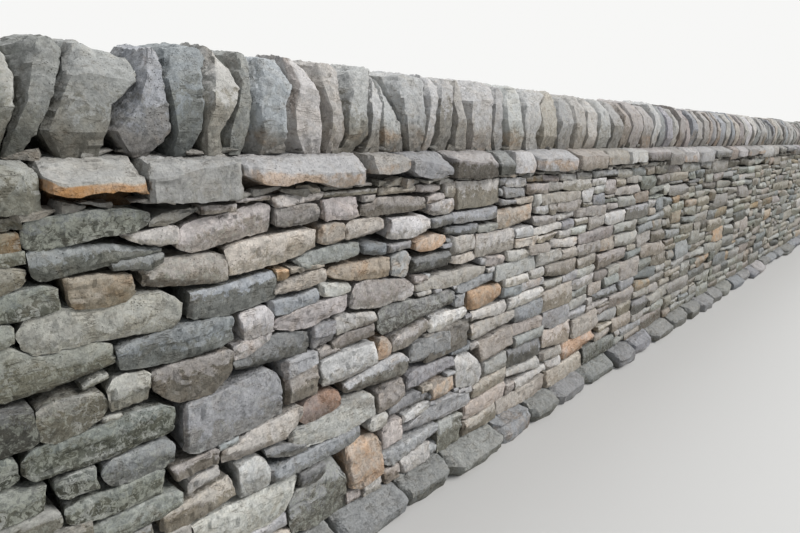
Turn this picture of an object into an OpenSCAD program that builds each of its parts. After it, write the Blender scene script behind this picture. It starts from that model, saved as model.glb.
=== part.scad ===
// Dry stone wall with upright copes, in level bays.
// X runs along the wall, the front face looks towards -Y, Z is up.
// The origin is in the middle of the base.

/* [Wall] */
// Number of bays in the wall
bays = 6; // [3:1:6]
// Length of one bay
bay_l = 1500; // [1200:10:1800]
// Width over the two faces where they stand on the footing
foot_w = 700; // [640:5:820]
// Width over the two faces below the cover stones
head_w = 430; // [400:5:500]
// Height of the two faces
face_h = 1015; // [800:5:1200]
// Usual height of a course of face stones
course_h = 60; // [45:1:80]
// How much one course may be higher than another, as a share
course_spread = 0.28; // [0:0.01:0.35]
// How far one course stands out past the next
course_step = 7; // [0:0.5:10]
// Open joint between two stones
joint = 5; // [3:0.5:8]
// How deep the open bed joints reach behind the face
joint_depth = 22; // [10:1:30]

/* [Faces and hearting] */
// Thickness of each face at its foot
skin_foot_t = 215; // [170:5:260]
// Thickness of each face below the cover stones
skin_head_t = 150; // [120:5:170]

/* [Footing] */
// Height of the footing stones above the ground
footing_h = 80; // [60:5:140]
// How far the footing stands out in front of the faces
ledge = 100; // [50:5:140]
// How far the footing stands out past the wall ends
end_ledge = 60; // [20:5:120]
// Usual length of a footing stone along the wall
footing_l = 320; // [240:5:600]
// How far the outer edge of a footing stone wanders
footing_rough = 32; // [0:1:45]

/* [Through stones] */
// Usual distance between two through stones
through_pitch = 900; // [700:10:1500]
// Distance from the wall ends to the first and last through stone
through_end = 660; // [600:10:1000]
// Length of a through stone's end along the wall
through_l = 280; // [150:5:300]
// Number of courses that a through stone is high
through_courses = 2; // [1:1:3]

/* [Wall ends] */
// Reach of the short end courses into the wall
end_short = 240; // [180:5:280]
// Reach of the long end courses into the wall
end_long = 400; // [320:5:460]

/* [Cover stones] */
// Thickness of the flat cover stones
cover_h = 95; // [60:5:130]
// How far the cover stones stand out past the faces
cover_out = 45; // [20:5:80]
// Usual length of a cover stone along the wall
cover_l = 300; // [220:5:450]
// How far the outer edge of a cover stone wanders
cover_rough = 14; // [0:1:20]

/* [Cope stones] */
// Usual height of a cope stone
cope_h = 240; // [180:5:300]
// How much a cope stone may be higher or lower than usual
cope_h_spread = 16; // [0:1:25]
// Usual thickness of a cope stone along the wall
cope_t = 125; // [90:5:170]
// Width of a cope stone across the wall
cope_w = 325; // [260:5:380]
// Gap between neighbouring cope stones
cope_gap = 4; // [2:0.5:8]

/* [Hidden] */
wall_l = bays * bay_l;
x_left = -wall_l / 2;
face_base_z = footing_h;
face_top_z = face_base_z + face_h;
cover_top_z = face_top_z + cover_h;

// Courses, from the footing up
course_n = max(4, round(face_h / course_h));
course_weights = rands(1 - course_spread, 1 + course_spread, course_n, 11);
course_unit = face_h / total(course_weights);
bed_z = [for (k = [0 : course_n]) face_base_z + course_unit * total_to(course_weights, k)];
course_out = rands(-course_step, course_step, course_n, 23);

// The bed on which the through stones lie, about half way up
through_bed = floor(course_n / 2) - 1;
through_z0 = bed_z[through_bed];
through_z1 = bed_z[through_bed + through_courses];
through_run = wall_l - 2 * through_end;
through_n = round(through_run / through_pitch) + 1;

// Cover stones of the first two bays, as they were laid, left to right: length along the wall,
// then how far the lower and the upper front arris lie above the faces, each at the left and right
cover_laid = [
    [
        [275, 8, 12, 88, 90],
        [195, 40, 33, 62, 60],
        [234, 12, 10, 87, 89],
        [418, 42, 22, 76, 60],
        [163, 48, 60, 68, 84],
        [215, 32, 28, 86, 62]
    ],
    [
        [290, 20, 15, 88, 60],
        [120, 15, 15, 55, 52],
        [150, 14, 18, 55, 60],
        [350, 22, 15, 70, 66],
        [300, 12, 24, 78, 60],
        [290, 26, 14, 64, 80]
    ]
];

// Length of a bay, height and width of a cope stone and thickness of a cover stone in the lists of
// laid stones
laid_bay_l = 1500;
laid_cope_h = 240;
laid_cope_w = 325;
laid_cover_h = 95;

// Levels of a cope stone, as shares of its height
cope_level = [0, 0.25, 0.5, 0.75, 1];
// Share of the cope's width across the wall at each level
cope_depth = [0.92, 1, 0.985, 0.83, 0.46];

// Eye from which the cope was measured: how far before the wall's left end, and out from its middle
eye_before = 60;
eye_out = 1424.1;
// Where the sides were measured at the five levels, out from the middle of the wall
sight_out = [160, 137.5, 115, 92.5, 70];

// A measured side, moved along the sight lines onto the front of the cope, to a whole millimetre
function sighted(side) = [for (k = [0 : len(side) - 1]) let (
    front_out = round(laid_cope_w / 2 * cope_depth[k])
) round(side[k] + (sight_out[k] - front_out) * (side[k] + eye_before) / (eye_out - sight_out[k]))];

// Cope stones of the first two bays, as they were laid, left to right: where the right side
// is at five levels from the foot up, how far the foot is cut back at the left, the height of
// the top at the left and right, and the share of the front that turns away to the left at
// each level. All along the wall from its left end. A side that was measured from the eye is
// sighted, and the others are places on the stone.
cope_laid = [
    [
        [sighted([85, 120, 150, 160, 162]), 4, [225, 232], [0.20, 0.20, 0.25, 0.30, 0.35]],
        [sighted([160, 195, 220, 232, 225]), 4, [228, 222], [0.25, 0.20, 0.20, 0.25, 0.30]],
        [sighted([228, 252, 275, 283, 276]), 4, [215, 218], [0.15, 0.20, 0.30, 0.30, 0.35]],
        [sighted([262, 305, 338, 365, 372]), 2, [212, 232], [0.10, 0.16, 0.34, 0.48, 0.66]],
        [sighted([405, 436, 462, 512, 522]), 60, [226, 216], [0.12, 0.10, 0.15, 0.12, 0.20]],
        [sighted([500, 575, 580, 572, 570]), 55, [226, 232], [0.20, 0.12, 0.44, 0.44, 0.50]],
        [sighted([598, 652, 665, 672, 688]), 50, [234, 248], [0.30, 0.15, 0.12, 0.14, 0.25]],
        [sighted([688, 700, 742, 770, 748]), 40, [249, 218], [0.12, 0.12, 0.30, 0.46, 0.40]],
        [sighted([738, 778, 793, 802, 812]), 2, [240, 244], [0.30, 0.34, 0.30, 0.22, 0.45]],
        [sighted([868, 892, 900, 932, 915]), 2, [226, 248], [0.46, 0.38, 0.26, 0.24, 0.20]],
        [sighted([998, 1012, 1034, 1022, 1005]), 5, [246, 234], [0.48, 0.32, 0.34, 0.28, 0.14]],
        [sighted([1050, 1096, 1098, 1098, 1112]), 4, [236, 248], [0.14, 0.34, 0.40, 0.38, 0.34]],
        [sighted([1120, 1190, 1203, 1218, 1236]), 4, [222, 252], [0.14, 0.14, 0.50, 0.62, 0.56]],
        [sighted([1222, 1240, 1258, 1285, 1262]), 4, [230, 204], [0.35, 0.40, 0.50, 0.52, 0.40]],
        [sighted([1338, 1348, 1360, 1345, 1300]), 4, [214, 178], [0.28, 0.28, 0.30, 0.32, 0.35]],
        [sighted([1412, 1455, 1475, 1482, 1490]), 6, [242, 238], [0.40, 0.20, 0.22, 0.40, 0.50]],
        [sighted([1455, 1515, 1530, 1545, 1562]), 4, [240, 238], [0.20, 0.34, 0.36, 0.30, 0.30]]
    ],
    [
        [sighted([1555, 1600, 1618, 1632, 1645]), 8, [234, 246], [0.20, 0.26, 0.34, 0.34, 0.30]],
        [sighted([1660, 1690, 1700, 1700, 1702]), 4, [240, 228], [0.50, 0.55, 0.55, 0.45, 0.30]],
        [sighted([1840, 1850, 1875, 1885, 1900]), 4, [238, 250], [0.30, 0.30, 0.36, 0.36, 0.40]],
        [sighted([1905, 1935, 1940, 1950, 1960]), 4, [232, 240], [0.24, 0.26, 0.32, 0.36, 0.34]],
        [sighted([2045, 2080, 2075, 2090, 2080]), 4, [246, 236], [0.40, 0.42, 0.36, 0.32, 0.30]],
        [sighted([2160, 2180, 2240, 2230, 2290]), 4, [230, 246], [0.26, 0.28, 0.36, 0.30, 0.34]],
        [[2320, 2300, 2306, 2318, 2372], 4, [244, 232], [0.30, 0.34, 0.30, 0.26, 0.30]],
        [[2462, 2448, 2440, 2462, 2498], 4, [226, 240], [0.36, 0.30, 0.28, 0.36, 0.40]],
        [[2585, 2590, 2578, 2590, 2612], 4, [240, 246], [0.22, 0.26, 0.34, 0.38, 0.30]],
        [[2720, 2702, 2710, 2716, 2745], 4, [248, 230], [0.34, 0.30, 0.26, 0.30, 0.36]],
        [[2850, 2862, 2850, 2858, 2882], 4, [228, 238], [0.28, 0.24, 0.30, 0.34, 0.40]],
        [[2996, 2990, 2994, 3002, 3008], 4, [240, 232], [0.36, 0.32, 0.28, 0.30, 0.34]]
    ]
];
// Left side of the first cope stone, at the same five levels
cope_start = [2, 25, 50, 60, 66];

// Most that the side of a cope stone may wander from a straight line
cope_wander = 11;
// Most that a level of a cope stone is off the middle of the wall, as a share of its width
cope_shift = 0.03;
// Least and most of a cope stone that is knocked off a corner, as a share of its size
cope_worn = [0.1, 0.3];
// The same at its front right corner, which stays crisp
cope_crisp = [0.02, 0.08];
// Least and most of half the width over which a facet as wide as the stone would turn away
facet_back = [0.72, 1.12];
// Least and most of the front that is left facet, where it isn't laid as listed
facet_share = [0.12, 0.48];
// Least and most that the foot of a cope stone is cut back at the left
foot_cut = [2, 14];
// How far the last cope stone is set back from the wall's end
cope_end_back = 8;

// How much lengths in one row of stones differ from the usual length, as a share
footing_spread = 0.35;
cover_spread = 0.35;
cope_spread = 0.32;

// Sums

function total(list) = len(list) == 0 ? 0 : list * [for (v = list) 1];

function total_to(list, count) = count == 0 ? 0 : total([for (i = [0 : count - 1]) list[i]]);

// Cut marks along a run: the start, every joint and the end
function marks(start, length, weights) =
    [for (i = [0 : len(weights)]) start + length * total_to(weights, i) / total(weights)];

// Uneven shares for a run of stones of about one size
function uneven(length, size, spread, seed) =
    rands(1 - spread, 1 + spread, max(2, round(length / size)), seed);

// Half the width over the faces at a height
function half_w(z) = foot_w / 2 - (foot_w - head_w) / 2 * (z - face_base_z) / face_h;

// Half the width of the hearting at a height
function half_core(z) =
    half_w(z) - skin_foot_t - (skin_head_t - skin_foot_t) * (z - face_base_z) / face_h;

function bay_x(b) = x_left + (b - 1) * bay_l;

// Rough stones

// Eight corners of a level outline, corners knocked off, listed anticlockwise from above
function knocked_ring(x0, x1, y0, y1, z, cut) = [
    [x0 + cut[0], y0, z],
    [x1 - cut[1], y0, z],
    [x1, y0 + cut[2], z],
    [x1, y1 - cut[3], z],
    [x1 - cut[4], y1, z],
    [x0 + cut[5], y1, z],
    [x0, y1 - cut[6], z],
    [x0, y0 + cut[7], z]
];

// Faces of one stone built from rings of corners, the lowest ring first
function stone_faces(first, rings, n) = concat(
    [[for (j = [0 : n - 1]) first + j]],
    [[for (j = [0 : n - 1]) first + rings * n - 1 - j]],
    [for (k = [0 : rings - 2]) for (j = [0 : n - 1]) let (
        a = first + k * n + j,
        b = first + k * n + (j + 1) % n
    ) each [[a, a + n, b + n], [a, b + n, b]]]
);

// Several separate stones, each a list of rings
module rough_stones(stones) {
    n = len(stones[0][0]);
    rings = len(stones[0]);
    corners = [for (stone = stones) for (ring = stone) each ring];
    faces = [for (i = [0 : len(stones) - 1]) each stone_faces(i * rings * n, rings, n)];
    polyhedron(points = corners, faces = faces, convexity = 6);
}

// Footing

// How far the sides of a footing stone draw in at its bed and top
footing_arris = 9;
// Least and most of a footing stone that is knocked off its corners, as a share of its length
footing_knock = [0.04, 0.19];
// Least and most height of its widest level, and drop of its top from the wall to its outer edge
footing_shoulder = [14, 26];
footing_drop = [14, 38];
// How much less is knocked off at its top, as a share
footing_top_knock = 0.6;
// Least and most that its level top reaches out past the face of the wall
footing_seat = [12, 48];

// A footing stone: bed, two levels of the full outline and a level top under the wall
function footing_stone(x0, x1, y0, y1, side, seed) =
    let (
        cut = rands(footing_knock[0], footing_knock[1], 8, seed) * min(x1 - x0, y1 - y0),
        low = rands(footing_shoulder[0], footing_shoulder[1], 1, seed + 1)[0],
        drop = rands(footing_drop[0], footing_drop[1], 1, seed + 2)[0],
        seat = foot_w / 2 + rands(footing_seat[0], footing_seat[1], 1, seed + 3)[0],
        arris = footing_arris
    ) [
        knocked_ring(x0 + arris, x1 - arris, y0 + arris, y1 - arris, 0, cut),
        knocked_ring(x0, x1, y0, y1, low, cut),
        knocked_ring(x0, x1, y0, y1, footing_h - drop, cut),
        knocked_ring(x0 + arris, x1 - arris, side < 0 ? -seat : y0 + arris,
                     side < 0 ? y1 - arris : seat, footing_h, cut * footing_top_knock)
    ];

function footing_row(b, side) =
    let (
        seed = 100 * b + (side < 0 ? 31 : 57),
        x0 = bay_x(b) - (b == 1 ? end_ledge : 0),
        x1 = bay_x(b + 1) + (b == bays ? end_ledge : 0),
        cuts = marks(x0, x1 - x0, uneven(x1 - x0, footing_l, footing_spread, seed)),
        reach = concat([0], rands(-footing_rough, 0, len(cuts), seed + 2))
    ) [for (i = [0 : len(cuts) - 2]) let (
        out = foot_w / 2 + ledge + reach[i],
        y0 = side < 0 ? -out : joint / 2,
        y1 = side < 0 ? -joint / 2 : out
    ) footing_stone(cuts[i] + joint / 2, cuts[i + 1] - joint / 2, y0, y1, side, seed + 7 * i)];

module footing(b) {
    color("dimgray")
        rough_stones(concat(footing_row(b, -1), footing_row(b, 1)));
}

// Faces and hearting

// Outline of one face, seen along the wall: proud courses with open bed joints between them
function face_outline(side) = [
    for (k = [0 : course_n - 1]) let (
        z0 = bed_z[k] + (k == 0 ? 0 : joint / 2),
        z1 = bed_z[k + 1] - (k == course_n - 1 ? 0 : joint / 2),
        out = course_out[k]
    ) each concat(
        k == 0 ? [] : [[side * (half_w(z0) - joint_depth), z0]],
        [[side * (half_w(z0) + out), z0], [side * (half_w(z1) + out), z1]],
        k == course_n - 1 ? [] : [[side * (half_w(z1) - joint_depth), z1]]
    ),
    [side * half_core(face_top_z), face_top_z],
    [side * half_core(face_base_z), face_base_z]
];

// A prism along the wall from an outline in Y and Z
module along_wall(x0, x1) {
    translate([x0, 0, 0])
        rotate([90, 0, 90])
            linear_extrude(height = x1 - x0)
                children();
}

// Most that a through stone may lie off its even place along the wall
through_wander = 40;

function through_x(i) =
    x_left + through_end + through_run * i / (through_n - 1)
    + rands(-through_wander, through_wander, 1, 60 + i)[0];

// Room for the through stones
module through_pockets() {
    for (i = [0 : through_n - 1])
        translate([through_x(i) - through_l / 2 - joint, -foot_w, through_z0])
            cube([through_l + 2 * joint, 2 * foot_w, through_z1 - through_z0]);
}

// Reach of an end course into the wall
function end_reach(k) = k % 2 == 0 ? end_long : end_short;

// Room for the courses of a wall end, which are bonded into the faces
module end_pockets(side) {
    for (k = [0 : course_n - 1])
        translate([side * wall_l / 2 - (side > 0 ? end_reach(k) : foot_w), -foot_w, bed_z[k]])
            cube([end_reach(k) + foot_w, 2 * foot_w, bed_z[k + 1] - bed_z[k]]);
}

// A length of wall core or face less the room for what passes through it
module bay_masonry(b) {
    difference() {
        along_wall(bay_x(b), bay_x(b + 1))
            children();
        through_pockets();
        if (b == 1) end_pockets(-1);
        if (b == bays) end_pockets(1);
    }
}

module front_face(b) {
    color("darkgray")
        bay_masonry(b)
            polygon(face_outline(-1));
}

module back_face(b) {
    color("darkgray")
        bay_masonry(b)
            polygon(face_outline(1));
}

module hearting(b) {
    color("slategray")
        bay_masonry(b)
            polygon([
                [-half_core(face_base_z), face_base_z],
                [half_core(face_base_z), face_base_z],
                [half_core(face_top_z), face_top_z],
                [-half_core(face_top_z), face_top_z]
            ]);
}

// Through stones

module through_stone(x) {
    along_wall(x - through_l / 2, x + through_l / 2)
        polygon([
            [-half_w(through_z0), through_z0],
            [half_w(through_z0), through_z0],
            [half_w(through_z1), through_z1],
            [-half_w(through_z1), through_z1]
        ]);
}

module through_stones() {
    color("gray")
        for (i = [0 : through_n - 1])
            through_stone(through_x(i));
}

// Wall ends

// Full-width end stones, long and short in turn, joined behind their open joints
module wall_end(side) {
    color("darkgray")
        for (k = [0 : course_n - 1]) {
            z0 = bed_z[k] + (k == 0 ? 0 : joint / 2);
            z1 = bed_z[k + 1] - (k == course_n - 1 ? 0 : joint / 2);
            end_course(side, end_reach(k), z0, z1, course_out[k]);
            end_course(side, end_short, bed_z[k], bed_z[k + 1], -joint_depth);
        }
}

module end_course(side, reach, z0, z1, out) {
    tip = side * (wall_l / 2 + min(0, out));
    inner = side * (wall_l / 2 - reach + joint);
    along_wall(min(tip, inner), max(tip, inner))
        polygon([
            [-half_w(z0) - out, z0],
            [half_w(z0) + out, z0],
            [half_w(z1) + out, z1],
            [-half_w(z1) - out, z1]
        ]);
}

// Cover stones

// How far the top of a cover stone is set back from its front, and its bed from the face
cover_top_back = 85;
cover_bed_back = 14;
// How far the sides of a cover stone draw in at its bed and top
cover_arris = 8;
// How far the upper front arris of a cover stone is set back from the lower one
cover_rake = 5;
// Least and most of a cover stone's length that is knocked off its corners
cover_knock = [0.03, 0.11];
// Least and most height of the lower and the upper front arris above the faces
cover_low = [8, 36];
cover_high = [56, 88];

// Lengths and arris heights of the cover stones of a bay
function cover_list(b) =
    b <= len(cover_laid) ? cover_laid[b - 1] :
    let (
        lengths = uneven(bay_l, cover_l, cover_spread, 700 + b),
        low = rands(cover_low[0], cover_low[1], 2 * len(lengths), 710 + b),
        high = rands(cover_high[0], cover_high[1], 2 * len(lengths), 720 + b)
    ) [for (i = [0 : len(lengths) - 1])
        [lengths[i], low[2 * i], low[2 * i + 1], high[2 * i], high[2 * i + 1]]];

// The corners of a ring brought to one height at the left and another at the right
function tilted(ring, x0, x1, z_left, z_right) =
    [for (p = ring) [p.x, p.y, z_left + (z_right - z_left) * (p.x - x0) / (x1 - x0)]];

// A cover stone: narrow bed, lower and upper arris at front and back, narrow top
function cover_stone(x0, x1, front, back, arris_z, seed) =
    let (
        cut = rands(cover_knock[0], cover_knock[1], 8, seed) * (x1 - x0),
        unit = cover_h / laid_cover_h,
        bed = head_w / 2 - cover_bed_back,
        low = face_top_z + unit * arris_z[1],
        low_right = face_top_z + unit * arris_z[2],
        high = face_top_z + unit * arris_z[3],
        high_right = face_top_z + unit * arris_z[4]
    ) [
        knocked_ring(x0 + cover_arris, x1 - cover_arris, -bed, bed, face_top_z, cut),
        tilted(knocked_ring(x0, x1, -front, back, 0, cut), x0, x1, low, low_right),
        tilted(knocked_ring(x0, x1, cover_rake - front, back - cover_rake, 0, cut),
               x0, x1, high, high_right),
        knocked_ring(x0 + cover_arris, x1 - cover_arris, cover_top_back - front,
                     back - cover_top_back, cover_top_z, cut)
    ];

function cover_row(b) =
    let (
        seed = 300 * b + 5,
        laid = cover_list(b),
        cuts = marks(bay_x(b), bay_l, [for (one = laid) one[0]]),
        out = [for (r = rands(0, cover_rough, 2 * len(laid), seed)) head_w / 2 + cover_out - r]
    ) [for (i = [0 : len(laid) - 1])
        cover_stone(cuts[i] + joint / 2, cuts[i + 1] - joint / 2, out[2 * i], out[2 * i + 1],
                    laid[i], seed + 7 * i)];

module cover_stones(b) {
    color("lightsteelblue")
        rough_stones(cover_row(b));
}

// Cope stones

// The side between two cope stones at five levels, from its place at the foot
function wandering(x) =
    [for (w = rands(-cope_wander, cope_wander, len(cope_level), round(x - x_left))) x + w];

function laid_side(side) = [for (x = side) x_left + x * bay_l / laid_bay_l];

// The last side of a bay, which is also the first of the next
function last_side(b) =
    b == 0 ? laid_side(cope_start) :
    b <= len(cope_laid) ? laid_side(cope_laid[b - 1][len(cope_laid[b - 1]) - 1][0]) :
    b == bays ? [for (level = cope_level) bay_x(b + 1) - cope_end_back] :
    wandering(bay_x(b + 1));

// Cope stones of a bay: right side, cut at the foot, height at left and right, left facet
function cope_list(b) =
    b <= len(cope_laid) ? [for (one = cope_laid[b - 1])
        [laid_side(one[0]), one[1], one[2] * cope_h / laid_cope_h, one[3]]] :
    let (
        cuts = marks(bay_x(b), bay_l, uneven(bay_l, cope_t, cope_spread, 800 + b)),
        count = len(cuts) - 1,
        rise = rands(-cope_h_spread, cope_h_spread, 2 * count, 830 + b)
    ) [for (i = [1 : count]) [
        i == count ? last_side(b) : wandering(cuts[i]),
        rands(foot_cut[0], foot_cut[1], 1, 860 + 20 * b + i)[0],
        [cope_h + rise[2 * i - 2], cope_h + rise[2 * i - 1]],
        rands(facet_share[0], facet_share[1], len(cope_level), 900 + 20 * b + i)
    ]];

// One upright cope stone between the side of its neighbour and its own right side
function cope(left, one, seed) =
    let (
        shift = rands(-cope_shift, cope_shift, len(cope_level), seed + 3),
        worn = rands(cope_worn[0], cope_worn[1], 6, seed + 4),
        back = rands(facet_back[0], facet_back[1], 1, seed + 5)[0],
        crisp = rands(cope_crisp[0], cope_crisp[1], 2, seed + 6)
    ) [for (k = [0 : len(cope_level) - 1]) let (
        x0 = left[k] + cope_gap / 2 + (k == 0 ? one[1] : 0),
        x1 = one[0][k] - cope_gap / 2,
        t = x1 - x0,
        half = cope_w / 2 * cope_depth[k],
        y_mid = cope_w * shift[k],
        cut = [t * one[3][k], t * crisp[0], half * crisp[1], half * worn[0],
               t * worn[1], t * worn[2], half * worn[3], half * back * one[3][k]],
        ring = knocked_ring(x0, x1, y_mid - half, y_mid + half, 0, cut)
    ) tilted(ring, x0, x1, cover_top_z + one[2][0] * cope_level[k],
             cover_top_z + one[2][1] * cope_level[k])];

function cope_row(b) =
    let (list = cope_list(b))
    [for (i = [0 : len(list) - 1])
        cope(i == 0 ? last_side(b - 1) : list[i - 1][0], list[i], 1000 * b + 10 * i)];

module cope_stones(b) {
    color("silver")
        rough_stones(cope_row(b));
}

for (b = [1 : bays]) {
    footing(b);
    front_face(b);
    back_face(b);
    hearting(b);
    cover_stones(b);
    cope_stones(b);
}
through_stones();
wall_end(-1);  // left_wall_end
wall_end(1);  // right_wall_end
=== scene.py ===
import functools
import math

import bpy
import numpy as np
from mathutils import Matrix, Vector


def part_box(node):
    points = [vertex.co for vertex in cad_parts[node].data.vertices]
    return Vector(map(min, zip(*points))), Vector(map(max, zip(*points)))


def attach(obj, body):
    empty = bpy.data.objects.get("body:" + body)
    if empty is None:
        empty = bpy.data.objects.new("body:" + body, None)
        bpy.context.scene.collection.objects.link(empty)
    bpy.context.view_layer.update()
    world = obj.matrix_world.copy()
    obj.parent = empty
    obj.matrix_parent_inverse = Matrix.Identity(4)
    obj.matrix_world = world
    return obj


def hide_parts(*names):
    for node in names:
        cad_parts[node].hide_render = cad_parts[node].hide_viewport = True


bl_info = {
    "name": "Dry stone wall",
    "version": (1, 0, 0),
    "blender": (4, 5, 0),
    "location": "3D View > Sidebar > Dry stone wall",
    "description": "Lays the stones of a dry stone wall over its CAD frame",
    "category": "Object",
}

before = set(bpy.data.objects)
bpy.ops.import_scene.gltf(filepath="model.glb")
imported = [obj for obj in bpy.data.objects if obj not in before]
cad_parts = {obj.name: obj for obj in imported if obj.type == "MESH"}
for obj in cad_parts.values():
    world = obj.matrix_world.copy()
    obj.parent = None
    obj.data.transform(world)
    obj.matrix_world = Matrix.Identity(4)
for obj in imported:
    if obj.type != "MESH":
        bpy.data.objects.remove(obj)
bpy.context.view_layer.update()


def top_of(node):
    """Height of the top of a CAD node"""
    return round(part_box(node)[1].z, 6)


def half_widths(*heights):
    """Half the width over the two faces at some heights, from the slope of the through stones' ends"""
    low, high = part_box("through_stones")
    corners = np.array([v.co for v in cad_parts["through_stones"].data.vertices])
    narrow = corners[corners[:, 2] > (low.z + high.z) / 2, 1].max()
    slope = (high.y - narrow) / (high.z - low.z)
    return [round(float(high.y - slope * (z - low.z)), 4) for z in heights]


BAYS = sum(name.startswith("front_face_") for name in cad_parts)
WALL_L = round(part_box("right_wall_end")[1].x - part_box("left_wall_end")[0].x, 6)
BAY_L = WALL_L / BAYS
LEFT = -WALL_L / 2
FOOTING_TOP = top_of("footing_1")
FACE_TOP = top_of("hearting_1")
HALF_FOOT, HALF_HEAD = half_widths(FOOTING_TOP, FACE_TOP)
# Coordinates in the lists of laid stones are in millimetres
MM = 1000
# Where the random draws of each kind of piece begin
SEEDS = {"masonry": 4, "front": 100, "back": 200, "ends": 300, "quoins": 310, "through": 400,
         "cope": 500, "cover": 600, "footing": 700}

# Colours of the stones, one for each look
LOOKS = {
    "buff": (0.394, 0.360, 0.322),
    "pale": (0.416, 0.403, 0.384),
    "white": (0.455, 0.450, 0.442),
    "pink": (0.368, 0.342, 0.326),
    "grey": (0.302, 0.306, 0.311),
    "blue_grey": (0.262, 0.275, 0.286),
    "green_grey": (0.240, 0.245, 0.236),
    "dark": (0.196, 0.197, 0.199),
    "brown": (0.266, 0.246, 0.230),
    "ochre": (0.390, 0.338, 0.266),
    "orange": (0.402, 0.350, 0.308),
    "rust": (0.210, 0.169, 0.153),
    "olive": (0.292, 0.297, 0.281),
    "blue_pale": (0.323, 0.335, 0.353),
}


class StoneColours(bpy.types.PropertyGroup):
    """Colours of the stones"""
    __annotations__ = {
        look: bpy.props.FloatVectorProperty(
            name=look.replace("_", " ").capitalize(),
            description=f"Colour of the {look.replace('_', ' ')} stones",
            default=colour, subtype="COLOR", min=0.0, max=1.0,
        )
        for look, colour in LOOKS.items()
    }


# Sizes that shape the stones, each with its usual value and what it is
SIZES = {
    "open_joint": (0.0020, "Usual gap between two face stones"),
    "arris": (0.0034, "How far the broken edge of a face stone reaches into its face"),
    "tail": (0.150, "Length of a face stone into the wall"),
    "lump": (0.0042, "How far the lumps of a broken face stand out"),
    "chip": (0.0026, "Depth of the chips in a broken face"),
}


class StoneSizes(bpy.types.PropertyGroup):
    """Sizes that shape the stones"""
    __annotations__ = {
        size: bpy.props.FloatProperty(
            name=size.replace("_", " ").capitalize(), description=what, default=usual, unit="LENGTH")
        for size, (usual, what) in SIZES.items()
    }


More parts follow.
